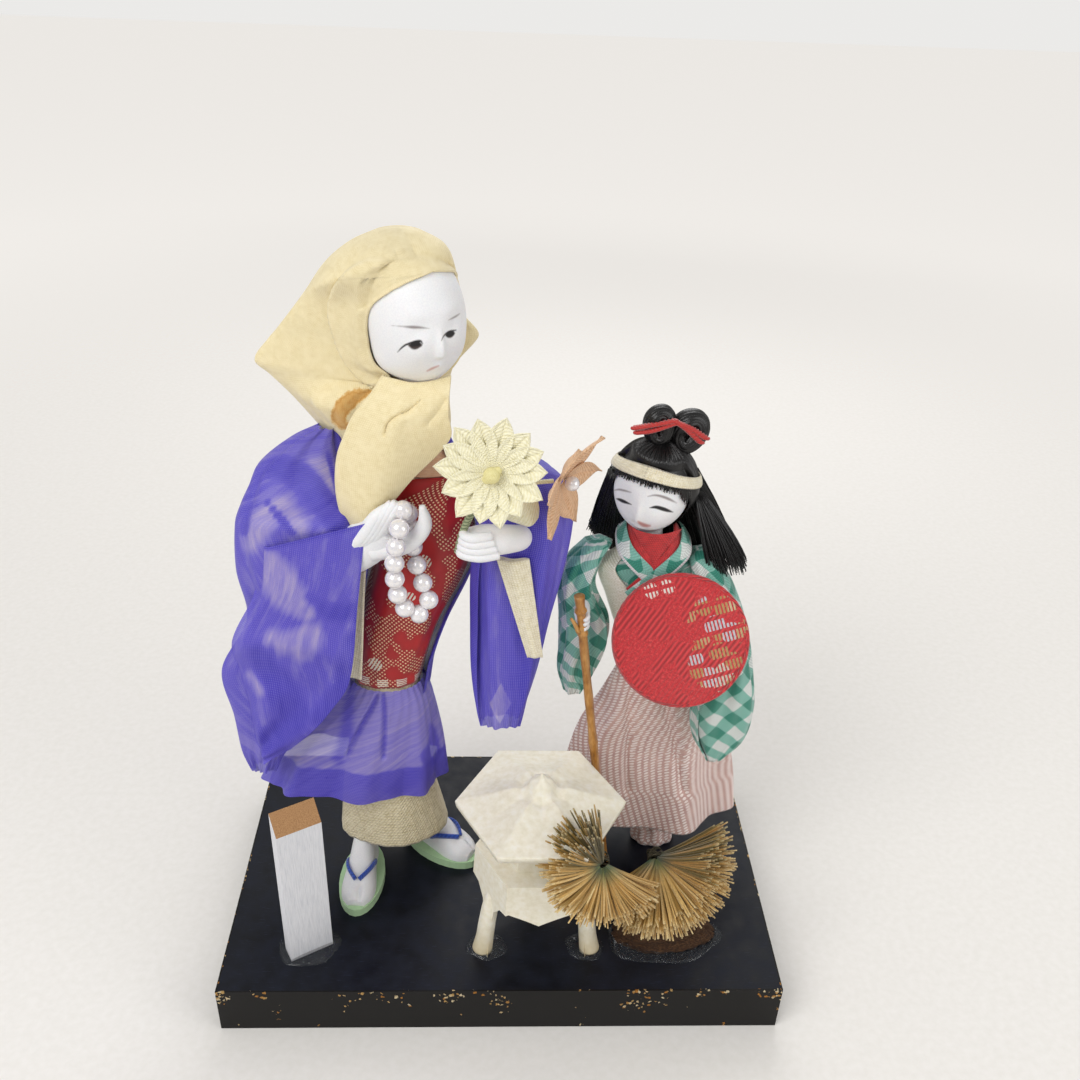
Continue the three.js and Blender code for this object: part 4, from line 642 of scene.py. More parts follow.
def bristles(start, middle, end, radius, tone_row, steps=6, sides=3, taper=0.45):
    """Rods along quadratic curves (start, middle, end), each (n, 3); radius falls to its taper."""
    t = np.linspace(0, 1, steps)[None, :, None]
    line = ((1 - t) ** 2 * start[:, None] + 2 * t * (1 - t) * middle[:, None] + t ** 2 * end[:, None])
    way = unit(end - start)
    side = unit(np.cross(way, [0.31, 0.62, 0.72]))
    over = np.cross(way, side)
    a = circle(sides)[:, None]
    r = radius[:, None, None, None] * (1 - (1 - taper) * t[..., None])
    ring = np.cos(a) * side[:, None, None] + np.sin(a) * over[:, None, None]
    grid = line[:, :, None] + r * ring
    n, step = len(start), steps * sides
    first = np.arange(n)[:, None, None] * step
    ends = np.array([np.arange(sides)[::-1], step - sides + np.arange(sides)])
    faces = [(first + quads(steps, sides, around=True)).reshape(-1, 4), (first + ends).reshape(-1, sides)]
    uv = np.stack([np.broadcast_to(tone_row[:, None, None], (n, steps, sides)),
                   np.broadcast_to(t[..., 0][:, :, None], (n, steps, sides))], -1)
    return grid.reshape(-1, 3), faces, uv.reshape(-1, 2)


def fan_way(turn, rise, tilt):
    """Unit vectors of a fan: turned in a plane that leans back by tilt, risen out of it to the front."""
    upward = np.array([0, math.sin(tilt), math.cos(tilt)])
    outward = np.array([0, -math.cos(tilt), math.sin(tilt)])
    flat = (np.cos(turn) * np.cos(rise))[:, None] * np.array([1.0, 0, 0])
    return flat + (np.sin(turn) * np.cos(rise))[:, None] * upward + np.sin(rise)[:, None] * outward


def tuft(name, node, at, reach, turns, rises, tilt, count, front=-40.5):
    """A fan of bristles from a knot; each leaves with more rise than it ends with, so it bends over."""
    centre = np.array(at) + PINE_AT
    turn = np.radians(chance.uniform(*turns, count))
    rise = np.radians(chance.uniform(*rises, count))
    length = reach * chance.uniform(0.84, 1.03, count)
    early = fan_way(turn + chance.normal(0, 0.04, count), rise + 0.35, tilt)
    late = fan_way(turn, rise, tilt)
    start = centre + 1.2 * early
    middle = centre + 0.5 * length[:, None] * early
    end = centre + length[:, None] * (0.35 * early + 0.65 * late)
    for points in (middle, end):
        points[:, 1] = np.maximum(points[:, 1], front)
    # Bristles that point up get a lower tone number: painted shade on the upper part of the fan.
    upward = smooth_step(0.1, 0.75, (end - start)[:, 2] / length)
    rods = bristles(start, middle, end, chance.uniform(0.22, 0.36, count),
                    np.clip(chance.uniform(0.3, 1, count) - 0.55 * upward, 0, 1), taper=0.7)
    return piece(name, [rods], straw, [node], smooth=False)


tufts = [tuft("straw_tuft_left", "pine_cluster_left", (-17.7, -9.4, 34.6), 14.6, (95, 338), (-12, 34),
              math.radians(14), 600),
         tuft("straw_tuft_right", "pine_cluster_right", (-3.8, 1.6, 24.6), 18.6, (-150, 30), (-4, 50),
              math.radians(30), 820)]
print("Bristle faces:", sum(len(made.data.polygons) for made in tufts))

# %% [markdown]
# Two twisted wires carry the tufts. Each is two thin strands that wind round one line.

# %% twisted wires
wire_finish = finish("annealed_wire_dull", Roughness=0.5, Metallic=0.7)
link(ramp(noise(0.7, 4.0), [(0.35, "2c2a22"), (0.6, "55503f"), (0.8, "6b5a3c")]))


def twisted(path, radius, turns, at=0.0):
    """Two strands at opposite sides of one line, turned round it a number of times."""
    line = resample(np.asarray(path, float) + at, 60)
    made = []
    for start in (0, math.pi):
        a = np.linspace(0, TAU * turns, 60) + start
        offset = np.stack([np.cos(a), np.sin(a), 0 * a], -1) * radius
        made.append(sweep(line + offset, radius * 0.95, sides=6, samples=90))
    return made


wire_foot = (36, -21, 15.5)
wires = twisted([(21.3, -30.6, 47.2), (22.6, -28.4, 42), (25.5, -24, 33), wire_foot], 0.42, 9)
wires += twisted([(35.2, -20.0, 37.2), (36.3, -17.6, 27), wire_foot], 0.42, 6)
for centre, spread in (((21.3, -31.0, 47.0), 1.5), ((35.2, -21.0, 37.4), 1.7)):
    for k in range(4):
        a = np.linspace(0, 1.6 * TAU, 30)
        ring = spread * np.stack([np.cos(a + k), 0.7 * np.sin(1.3 * a + 2 * k), np.sin(a + k)], -1)
        wires.append(sweep(ring, 0.22, sides=5, samples=60, at=centre))
piece("pine_twisted_wires", wires, wire_finish, ["pine_wire"])
print("Wire parts:", len(wires))

# %% [markdown]
# ## The clay heads
# Both heads are egg shapes of white clay under a matt pale coat, with a small nose, shallow
# eye hollows and painted features. The grid is a globe in two angles whose columns are
# closer together at the face. The painting is a few numbers on the mesh: each feature is a
# small path in the photograph's view, so a point's place there says which paint it takes.

# %% head shape
NUN_HEAD = {"at": (8.1, 0.0, 146.5), "size": (9.4, 10.5, 13.5), "turn": 29, "lean": -6, "jaw": 1.9,
            "drop": 2.0}
CHILD_HEAD = {"at": (-7.4, 1.0, 106.4), "size": (8.2, 8.6, 10.0), "turn": -25, "lean": 6, "jaw": 0.0,
              "drop": 1.3}


def head_place(points, head, origin):
    """Points of a head in its own frame, turned, leaned and moved to the board's frame."""
    return points @ turn(2, head["turn"]).T @ turn(1, head["lean"]).T + np.array(head["at"]) + origin


def mound(high, *spans):
    """A smooth bump: its height times a bell of each (distance, width) pair."""
    return high * np.exp(-sum((distance / width) ** 2 for distance, width in spans))


def head_point(head, a, rise, grow=0.0, features=0.0):
    """Egg point: a is the angle from the face's middle, rise the latitude; features model the face."""
    wide, deep, tall = head["size"]
    h = np.sin(rise)
    narrow = np.where(h < 0, 1 - 0.14 * h ** 2, 1)
    s, t = deep * a, tall * h
    out, low = np.abs(s), t + head["drop"]
    nose_run = smooth_step(3.2, -2.8, low) * smooth_step(-4.5, -3.2, low)
    nose = mound(1.3, (s, 0.75 + 0.35 * nose_run)) * nose_run
    eyes = mound(-0.42, (out - 4.0, 1.9), (t - 0.2, 1.5))
    brow = mound(0.22, (out - 3.9, 2.6), (t - 3.2, 1.3))
    cheek = mound(0.4, (out - 5.0, 2.6), (t + 4.2, 2.6))
    lips = mound(0.4, (s, 1.7), (low + 5.8, 0.75)) - mound(0.2, (s, 1.8), (low + 7.1, 0.6))
    chin = mound(0.45, (s, 2.4), (t + 9.6, 1.8))
    jaw = mound(head["jaw"], (np.abs(a) - 1.6, 0.6), (t + 9.2, 4.2))
    full = grow + features * (nose + eyes + brow + cheek + lips + chin) + jaw
    reach = np.cos(rise) * narrow
    return np.stack([(wide + full) * reach * np.sin(a),
                     -(deep + full) * reach * np.cos(a), (tall + grow) * h], -1)


print("Heads:", NUN_HEAD["size"], CHILD_HEAD["size"], "mm half across")

# %% [markdown]
# A painted line is a brush stroke in the picture: a path of spots with a half width at
# each. How far a point of the surface lies from the path says how much paint it takes.

# %% strokes and heads
PAINTS = {"line": 0.6, "iris": 0.9, "brow": 0.9, "lip": 1.3}


def picture(points):
    """Where points in millimetres stand in the photograph's square picture."""
    q = (points - CAMERA_AT) @ look
    shift = PICTURE * FOCAL_SHARE / q[..., 1]
    return np.stack([PICTURE / 2 + shift * q[..., 0], PICTURE / 2 - shift * q[..., 2]], -1)


def stroke(spot, soft, *path):
    """How much of a brush stroke covers each spot: 1 within its half width of the path, fading softly."""
    row = resample(path, 40)
    gap = np.linalg.norm(spot[..., None, :] - row[:, :2], axis=-1) - row[:, 2]
    return 1 - smooth_step(-soft, soft, gap.min(-1))


def strokes(spot, *paths):
    """The strongest of several strokes at each spot."""
    return np.maximum.reduce([stroke(spot, *path) for path in paths])


def head(name, at, origin, relief, neck, neck_radius, node, **paint):
    """A globe grid with closer columns and rows at the face, its paint worked out point by point."""
    v, u = grid_of(190, 220, around=True)
    w, h = 2 * u - 1, 2 * v - 1
    a = math.pi * (0.34 * w + 0.66 * w ** 3)
    rise = math.pi * 0.5 * (0.75 * h + 0.25 * h ** 3) * 0.9999
    grid = head_place(head_point(at, a, rise, features=relief), at, origin)
    post = sweep(neck, neck_radius, sides=20, samples=12, at=origin)
    made = piece(name, [surface(grid, around=True), post], clay, [node])
    spot = picture(grid)
    for label, soft in PAINTS.items():
        cover = [stroke(spot, soft, *path) for path in paint.get(label, [])]
        number_at(made, label, np.maximum.reduce([0 * a, *cover]) * (np.abs(a) < 1.5))


print("Paints:", list(PAINTS))

# %% [markdown]
# The clay is matt and pale, with a little light under its skin. Each kind of paint has its
# own number on the mesh, which blends its colour over the clay.

# %% white clay
clay = finish("painted_white_clay", Roughness=0.5, Subsurface_Weight=0.12,
              Subsurface_Radius=(0.003, 0.0018, 0.0012))
chalk = noise(1.3, 5.0, 0.7)
tone = ramp(chalk, [(0.3, "e4e4e8"), (0.6, "efeff0")])
for label, colour in (("brow", "948c8c"), ("lip", "c48f8a"), ("iris", "3c302e"), ("line", "121013")):
    tone = blend(add("Attribute", attribute_name=label).outputs["Fac"], tone, colour)
link(tone)
bump(chalk, 0.06, 0.4)
print("Clay:", clay.name)

# %% [markdown]
# The woman looks down past her right hand. Each path below is a row of (x, y, half width)
# in the picture: a lid line, a soft shade for the eye, a brow and closed lips.

# %% the woman's head
head("nun_clay_head", NUN_HEAD, NUN_AT, 1.0,
     [(8.1, 1.2, 121), (8.1, 1.2, 130), (8.1, 1.0, 138)], 3.4, "nun_head",
     line=[[(397.4, 352.4, 0.3), (401, 348.4, 0.8), (405.5, 345, 1.0), (411, 342.9, 1.1), (416.5, 341.3, 1.2),
            (420.6, 341.2, 1.1), (422.8, 344, 0.3)],
           [(412.5, 344.6, 2.2), (418.0, 343.6, 2.6)],
           [(441.6, 340.6, 0.2), (443, 337.2, 0.5), (446, 333.6, 0.8), (450, 331.4, 1.1),
            (455.8, 330.2, 0.6)],
           [(448.4, 334.6, 2.6), (452.0, 333.2, 2.4)]],
     iris=[[(409.5, 345.2, 1.4), (414.5, 346.2, 3.4), (420.4, 345.0, 1.8)],
           [(446.4, 335.4, 1.0), (450, 335.2, 2.7), (454, 333.2, 1.0)]],
     brow=[[(392, 325.6, 0.05), (402, 326.4, 0.5), (412, 327.1, 1.4), (421, 327.6, 1.0), (430, 328.6, 0.05)],
           [(448.5, 320.0, 0.1), (452, 318.4, 0.6), (456, 316.2, 0.8), (459.7, 313.6, 0.3)]],
     lip=[[(427.2, 371.0, 0.4), (432, 368.6, 0.9), (438.6, 365.8, 0.5)]])
print("Face towards", NUN_HEAD["turn"], "degrees right of the front")

# %% [markdown]
# ## Cloth finishes
# Each cloth is one weave: two sets of threads whose crossings make a small relief. The UV
# map runs in millimetres, so the wave length is the real distance between threads. Threads
# finer than a picture point are drawn a little coarser, so that the weave still shows.


# %% weave and plain cloths
def weave(size, spin=0.0):
    """Height of a plain weave: two waves at right angles, with this thread distance in mm."""
    more = {"Distortion": 0.6, "Detail": 1.0, "where": place(spin=spin, cloth=True)}
    return calc("MULTIPLY", stripes(threads(size), "X", **more), stripes(threads(size), "Y", **more))


def plain_cloth(name, dark, light, thread, roughness=0.85, sheen=0.3, depth=0.12, stained=False):
    """A plain woven cloth: colour between two hexes by thread and by slow stains, with sheen."""
    material = finish(name, Roughness=roughness, Sheen_Weight=sheen, Sheen_Roughness=0.5)
    height, stain = weave(thread), noise(6, 5.0, 0.6)
    colour = ramp(calc("MULTIPLY_ADD", height, 0.45, stain), [(0.3, dark), (0.75, light)])
    if stained:
        wet = add("Attribute", attribute_name="stain").outputs["Fac"]
        ring = ramp(calc("MULTIPLY_ADD", stain, -0.9, wet),
                    [(0.0, "ffffff"), (0.2, "ebcb9c"), (0.34, "d6a769"), (0.5, "e6c08c"), (0.8, "f0d6ae")])
        colour = blend(1.0, colour, ring, "MULTIPLY")
    link(colour)
    bump(height, depth, 0.7)
    return material


hood_cloth = plain_cloth("cotton_hood_stiffened", "e0cf9e", "efe1b8", 0.42, depth=0.06, stained=True)
coarse_cream = plain_cloth("coarse_cream_linen", "bfae82", "ebdfbf", 0.85, depth=0.3)
inner_cream = plain_cloth("cream_lining_cloth", "d6caa6", "f1e9d2", 0.6, depth=0.2)
peach = plain_cloth("peach_silk", "d9a47e", "ecc3a4", 0.4, roughness=0.6, depth=0.08)
wadding = plain_cloth("cotton_wadding", "cdc4b4", "e2dbcd", 0.9, depth=0.3)
red_cloth = plain_cloth("red_crepe_collar", "8f1216", "c9262a", 0.5, roughness=0.6, depth=0.15)
print("Cloths:", [m.name for m in (hood_cloth, coarse_cream, inner_cream, peach, wadding, red_cloth)])

# %% [markdown]
# For every sheet the mean length of its rows, its width if laid flat, and its area are
# worked out along it, and then left unused.


# %% sheets
def fold_sheet(name, grid, material, replaces, thick=0.25, around=False, weld=False):
    """One sheet of cloth from a grid, given a wall if thick; its flat width and area are measured along it
    but not used.
    """
    made = piece(name, [surface(grid, around=around)], material, replaces)
    if weld:
        made.modifiers.new("seam", "WELD").merge_threshold = 0.05 * MM
    if thick:
        wall = made.modifiers.new("thickness", "SOLIDIFY")
        wall.thickness, wall.offset = thick * MM, 0
    across = arc_lengths(grid, 1)[:, -1].mean()
    one = np.cross(grid[1:, :-1] - grid[:-1, :-1], grid[:-1, 1:] - grid[:-1, :-1])
    other = np.cross(grid[1:, 1:] - grid[1:, :-1], grid[1:, 1:] - grid[:-1, 1:])
    area = (np.linalg.norm(one, axis=-1).sum() + np.linalg.norm(other, axis=-1).sum()) / 2
    if around:
        across += np.linalg.norm(grid[:, -1] - grid[:, 0], axis=-1).mean()
        area *= grid.shape[1] / (grid.shape[1] - 1)
    return made

# %% [markdown]
# ## Purple organza
# Organza is a sheer, crisp weave of twisted thread. One layer lets the light through and
# looks pale violet, and where it doubles at hems and folds it turns deep blue. A number on
# the mesh, called layers, says how much cloth lies at a point, and the alpha follows it.

# %% organza
organza = finish("purple_nylon_organza", Roughness=0.45, Sheen_Weight=0.14, Sheen_Roughness=0.4,
                 Sheen_Tint="8f84e6")
layers = add("Attribute", attribute_name="layers").outputs["Fac"]
height = weave(0.45)
waver = calc("MULTIPLY_ADD", noise((0.5, 0.07, 1), 5.0, 0.65, cloth=True, spin=0.15), 0.9, -0.45)
count = add("Math", {0: layers, 1: waver}, operation="ADD", use_clamp=True).outputs[0]
tint = ramp(count, [(0.0, "c6b8dc"), (0.25, "9388d4"), (0.55, "574bc6"), (1.0, "3023ad")])
link(blend(0.5, tint, blend(height, tint, "968cdd")))
link(remap(count, (0.0, 1.0), (0.76, 0.98)), "Alpha")
bump(height, 0.12, 0.6)


def organza_sheet(name, grid, replaces, layers, around=False):
    """A sheer sheet of the woman's robe, with how many layers of organza lie at each point."""
    made = fold_sheet(name, grid + NUN_AT, organza, replaces,
                      thick=0, around=around)
    number_at(made, "layers", np.clip(layers, 0, 1))


print("Organza:", organza.name)

# %% [markdown]
# ## Red brocade
# Brocade is silk satin with metal threads floated over it: a lattice of gold points, plain
# red clouds between them, and small silver sprigs. Points are a fine grid in the cloth's
# own UV, let through by slow noise.

# %% brocade
brocade = finish("red_gold_brocade", Roughness=0.45, Sheen_Weight=0.3, Sheen_Roughness=0.4)


def cells(scale, randomness=1.0, spin=0.0):
    """Voronoi cells on the cloth: their outputs hold each point's distance from its cell's middle."""
    where = place((scale, scale, 1), spin, cloth=True)
    return add("TexVoronoi", {"Vector": where, "Scale": 1.0, "Randomness": randomness}).outputs


point = calc("LESS_THAN", cells(1 / 0.75, 0.12, 0.75)["Distance"], 0.27)
cloud = noise((0.17, 0.13, 1), 1.0, cloth=True)
gold_points = calc("MULTIPLY", point, calc("GREATER_THAN", cloud, 0.49))
small = calc("LESS_THAN", cells(0.11, 0.9)["Distance"], 0.2)
silver = calc("MULTIPLY", small, calc("GREATER_THAN", stripes(0.42, "X", 0.5), 0.45))
hem = axes(place(cloth=True))["Y"]
hem_band = calc("MULTIPLY", calc("LESS_THAN", hem, 2.6), calc("GREATER_THAN", hem, 0.6))
floats = calc("MINIMUM", stripes(threads(4.3), "X"), stripes(threads(0.55), "Y"))
hem_stitch = calc("MULTIPLY", hem_band, calc("GREATER_THAN", floats, 0.42))
metal = calc("MAXIMUM", silver, hem_stitch)
satin = ramp(cloud, [(0.35, "b00f14"), (0.5, "9c0e12"), (0.7, "8c0c10")])
link(blend(metal, blend(gold_points, satin, "e2bf98"), "d9d2c4"))
bump(calc("MAXIMUM", gold_points, metal), 0.15, 0.7)
print("Brocade:", brocade.name)

# %% [markdown]
# ## The woman's body and clothes
# Under the clothes is a wire body wrapped in wadding. It hardly shows, so it is a plain
# padded form, fuller than its CAD solid only where the clothes leave room. The clothes are
# nested ovals: at each height an ellipse, squared a little, whose radius waves with folds.

# %% padded body
TORSO = [[57.5, -8.2, 7.4, -5.4, 7.6], [60.5, -8.2, 7.4, -5.4, 7.6], [77, -5.4, 12.3, -5.5, 8.5],
         [95, -2, 19.4, -5.5, 9.5], [107, -2.6, 18.6, -4.8, 9.5], [113.5, -1.2, 17, -4.2, 8.6],
         [118, 2, 13.6, -3.2, 6.6], [123, 3.8, 12.2, -2.8, 5.2], [127, 4, 12, -2.8, 5]]
UNDERSKIRT = [[13, -13.8, 12.8, -7.8, 14.8], [30, -12, 9.6, -6.6, 10.6], [44, -9.8, 8.2, -5.8, 8.6],
              [54, -8.4, 7.4, -5.2, 7.4], [60.5, -8, 7, -5, 7]]

v, u = grid_of(70, 64, around=True)
LEGS_LOW, CHEST_LOW, CHEST_RISE = 13.4, 58, 68
low_z = LEGS_LOW + 46 * v
legs = oval(UNDERSKIRT, low_z, TAU * u, out=-1.3 + 0.15 * np.sin(9 * TAU * u + low_z), power=2.2)
high_z = CHEST_LOW + CHEST_RISE * v
chest = oval(TORSO, high_z, TAU * u, out=-1.5 + 0.15 * np.sin(7 * TAU * u + high_z), power=2.2)
body = piece("nun_wadding_body", [surface(capped(form + NUN_AT), around=True) for form in (legs, chest)],
             wadding, ["nun_padded_body"])
print("Body height in mm:", round(CHEST_LOW + CHEST_RISE - LEGS_LOW, 1))

# %% [markdown]
# The linen skirt under the robe is stiff and hangs in shallow folds. The dress and the
# collar are stretched close over the wadding.

# %% underskirt, bodice and collar
v, u = grid_of(60, 160, around=True)
z = 13 + 47.2 * v
angle = TAU * u
folds = 0.35 * (1 - v) * np.cos(5 * angle + 1.1) + 0.08 * np.cos(23 * angle) * (1 - v)
underskirt = oval(UNDERSKIRT, z, angle, out=folds - 0.35, power=2.2)
underskirt[..., 2] += 0.25 * np.sin(3 * angle) * (1 - v)
fold_sheet("nun_linen_underskirt", underskirt + NUN_AT, coarse_cream, ["nun_underskirt"],
           thick=0.5, around=True)

z = 60.5 + 53 * v
strain = 0.22 * np.sin(4 * angle + z / 4) * np.sin(math.pi * v) + 0.12 * np.sin(11 * angle - z / 6)
bodice = oval(TORSO, z, angle, out=strain - 0.4, power=2.2)
fold_sheet("nun_brocade_dress", bodice + NUN_AT, brocade, ["nun_brocade_bodice"],
           thick=0.5, around=True)

z = 113.6 + 9.6 * v
collar = oval(TORSO, z, angle, out=-0.45 + 0.25 * np.cos(2 * angle), power=2.2)
fold_sheet("nun_peach_collar", collar + NUN_AT, peach, ["nun_collar"],
           thick=0.45, around=True)

# %% [markdown]
# The overskirt is one sheer width gathered at the waist into nine soft folds. A double hem
# makes the lower band dark, and folds are dark on one side where the cloth overlaps.

# %% organza skirt
SKIRT = [[30, -31.4, 12.4, -9.6, 14.4], [42, -25.4, 11.8, -8.8, 12.4], [50, -19, 10.8, -8, 10.8],
         [56, -12, 9.6, -7.2, 9.6], [60.2, -8.7, 7.9, -5.9, 8.2]]
v, u = grid_of(70, 360, around=True)
z = 30 + 30.2 * v
angle = TAU * u
share = 1 - v
wave = 9 * angle + 0.6 + 0.5 * np.sin(2 * angle)
folds = share * (0.95 * np.cos(wave) + 0.3 * np.cos(2 * wave + 1)) + 0.1 * np.cos(31 * angle) * v
skirt = oval(SKIRT, z, angle, out=folds - 0.1, power=2.2)
skirt[..., 2] += share * (0.5 * np.sin(angle * 3 + 1) - 0.2)
spot = picture(skirt + NUN_AT)
front = smooth_step(0.0, 0.3, -np.sin(angle))
pleats = strokes(spot, (3, (377, 697, 1), (370, 712, 1.6), (361.8, 726, 1.6), (346.3, 757, 1.2)),
                 (3, (383, 696, 1), (384.4, 722, 1.5), (383, 757, 1.4)))
skirt[..., 1] += 1.1 * pleats * front
hem_line = smooth_step(0.3, 0.27, v)
overlap = np.maximum(pleats, strokes(
    spot, (6, (350, 690, 4), (348, 715, 5), (345, 742, 6), (338, 757, 5)),
    (3, (432, 726, 2), (434, 745, 6), (430, 757, 9)),
    (0.8, (403, 772.6, 1), (404, 773, 1)), (0.8, (326.7, 777.5, 1), (327, 778, 1))))
behind = smooth_step(-0.2, 0.2, np.sin(angle))
organza_sheet("nun_organza_skirt", skirt, ["nun_robe_skirt"],
              0.3 + 0.4 * hem_line + 0.34 * overlap * front + 0.5 * behind, around=True)

# %% [markdown]
# The robe's back is a wide band of organza behind the shoulders that comes forward at both
# sides to the collar. It doubles along its edges.

# %% organza back
v, u = grid_of(60, 180)
z = 60.5 + 63.6 * v
angle = np.radians(-28 + 236 * u)
out = 0.95 + 0.4 * (1 + np.sin(9 * angle)) + 0.25 * np.sin(17 * angle + z / 9)
back = oval(TORSO, z, angle, out=out, power=2.2)
back[..., 2] -= 3.4 * smooth_step(0.08, 0.0, v)
edge = smooth_step(0.1, 0.06, np.minimum(u, 1 - u)) + smooth_step(0.06, 0.03, np.minimum(v, 1 - v))
organza_sheet("nun_organza_back", back, ["nun_robe_back"],
              0.75 + 0.25 * edge + 0.15 * np.sin(9 * angle))

# %% [markdown]
# ## Sleeves
# A sleeve is a wide bag of organza: at each height an oval squared towards a rectangle.
# Long folds wave it, and they fade towards both ends. Near the bottom, where a stitch
# gathers the cloth, there are many small folds. The bag opens a little at the hand.

# %% right sleeve
SLEEVE_RIGHT = [[40, -31, -26.2, -10.5, -7], [47, -32.6, -22.6, -12.2, -6], [57, -33.4, -14.2, -12.6, -4.6],
                [69, -34.6, -10.8, -12.6, -3.4], [82, -27.8, -6.4, -12.8, -2.6], [94, -29, -3.6, -13, -1.6],
                [104, -28.6, -2.7, -13, 1.5], [107.6, -27.4, -3, -12.6, 3], [110, -26.2, -4.6, -8.6, 4.6],
                [114, -24.2, -5.6, -4.6, 6], [119, -17.6, -7.4, -1.6, 6.4], [122, -12, -8.4, 0.6, 4.6]]


def sleeve_bag(rows, waves, phase, depth, start):
    """Sleeve points: a squared oval at each height, waved by folds; its two long edges meet at start."""
    v, u = grid_of(130, 261)
    low, high = rows[0][0], rows[-1][0]
    z, a = low + (high - low) * v, start + TAU * u
    gather = np.exp(-((z - low) / 5.0) ** 2)
    out = (0.6 * depth * np.cos(waves * a + phase + z / 18) + 0.15 * np.cos(2 * waves * a + z / 7)
           + gather * 0.5 * np.cos(14 * a))
    fade = 0.35 + 0.65 * np.sin(math.pi * np.clip(v, 0.05, 0.9)) ** 0.5
    grid = oval(rows, z, a, out=out * fade, power=2.4)
    mouth = smooth_step(0.08, 0.0, u) - smooth_step(0.92, 1.0, u)
    grid[..., 1] += 0.9 * mouth * np.sin(math.pi * np.clip(v * 1.3, 0, 1))
    return grid, z, a, smooth_step(0.045, 0.03, np.minimum(u, 1 - u))


sleeve, z, a, edge = sleeve_bag(SLEEVE_RIGHT, 6, 0.4, 0.9, -0.45)
spot = picture(sleeve + NUN_AT)
dark = strokes(spot, (4, (268, 465, 9), (297, 475, 13), (324, 504, 13), (343, 528, 13)),
               (3, (262, 468, 5), (248, 495, 5), (243, 530, 5)),
               (1.5, (266, 501, 1.5), (280, 518, 3), (292, 533, 3)), (2, (328, 455, 2), (341, 503, 2.5)))
pale = strokes(spot, (7, (250, 545, 8), (263, 522, 13), (282, 506, 10), (300, 528, 9)),
               (6, (312, 462, 4), (327, 469, 9), (335, 490, 8), (338, 508, 4)))
front_side = smooth_step(0.1, 0.8, -np.sin(a))
organza_sheet("nun_organza_sleeve_right", sleeve, ["nun_robe_sleeve_right"],
              0.5 + 0.35 * edge + (0.35 * dark - 0.36 * pale * (1 - dark)) * front_side)

# %% [markdown]
# The sleeve's front is a flat, crisp panel. Its top edge rises towards the hand, and folds
# fan out from the stitch at its lower corner, so each is a wave of the angle round it.

# %% right sleeve's front panel
PANEL_LEFT = [[0, -23.4, 102.1], [0.22, -25.6, 90.1], [0.45, -31.4, 77.3], [0.72, -30.2, 61.1],
              [1, -28.2, 45.0]]
PANEL_RIGHT = [[0, -1.6, 108.6], [0.35, -4.2, 88.4], [0.66, -7.2, 68.4], [0.82, -13.2, 58.6], [1, -21, 49.6]]
v, u = grid_of(120, 110)
left, right = between(PANEL_LEFT, v), between(PANEL_RIGHT, v)
x = left[..., 0] + (right[..., 0] - left[..., 0]) * u
z = left[..., 1] + (right[..., 1] - left[..., 1]) * u
turned = np.arctan2(z - 45, x + 31)
reach = np.hypot(z - 45, x + 31)
fan = np.sin(11 * turned + 0.5) * np.exp(-((reach - 14) / 16) ** 2)
crescent = mound(1.0, (reach - 34 - 5 * np.sin(2 * turned), 3.4)) - mound(0.7, (reach - 27, 3.2))
side_roll = 2.4 * np.exp(-(u / 0.07) ** 2)
y = -13.7 - 0.55 * fan - 0.7 * crescent + side_roll - 1.0 * np.sin(math.pi * u) * np.sin(math.pi * v)
panel = np.stack([x, y, z], -1)
spot = picture(panel + NUN_AT)
hem_line = smooth_step(0.02, 0.012, v) + smooth_step(0.97, 0.99, u)
dark = strokes(spot, (5, (308, 597, 4), (330, 612, 8), (356, 611, 9)),
               (5, (257, 655, 9), (283, 693, 16), (292, 720, 14), (268, 742, 12)),
               (5, (352, 640, 8), (338, 690, 9), (318, 718, 8)))
pale = strokes(spot, (7, (262, 556, 11), (276, 575, 17), (286, 592, 17), (304, 608, 13)),
               (7, (272, 638, 8), (290, 642, 12), (312, 636, 12), (304, 652, 10)),
               (5, (250, 675, 4), (262, 690, 6)))
organza_sheet("nun_organza_cuff_panel", panel, (),
              0.55 + 0.35 * dark - 0.36 * pale + 0.3 * hem_line)

# %% [markdown]
# The left sleeve is a plainer bag, with one small diamond of single cloth low on its front.

# %% left sleeve
SLEEVE_LEFT = [[52, 21.4, 30.4, -8.6, -4], [57, 20.4, 31.4, -9.4, -3.4], [68, 19.4, 33.6, -9.8, -2.4],
               [80, 19.3, 35.4, -9.8, -1.4], [94, 19.4, 38, -9.6, -0.4], [104, 20.6, 39.4, -9.2, 1],
               [110, 19.4, 39.4, -7.6, 3], [114, 17.4, 36, -5.4, 4.6], [117, 14.6, 29, -3, 5]]
sleeve, z, a, edge = sleeve_bag(SLEEVE_LEFT, 6, 1.2, 0.8, math.pi + 0.5)
x = sleeve[..., 0]
diamond = np.maximum(0, 1 - np.abs(x - 25.6) / 2.6 - np.abs(z - 60) / 6.5) * (np.sin(a) < 0)
organza_sheet("nun_organza_sleeve_left", sleeve, ["nun_robe_sleeve_left"],
              0.75 + 0.2 * np.sin(x / 2.2) - 0.3 * (diamond > 0.05))

# %% [markdown]
# A pale lining shows in each sleeve's mouth: a bent flap at the right, a flat tube at the left.

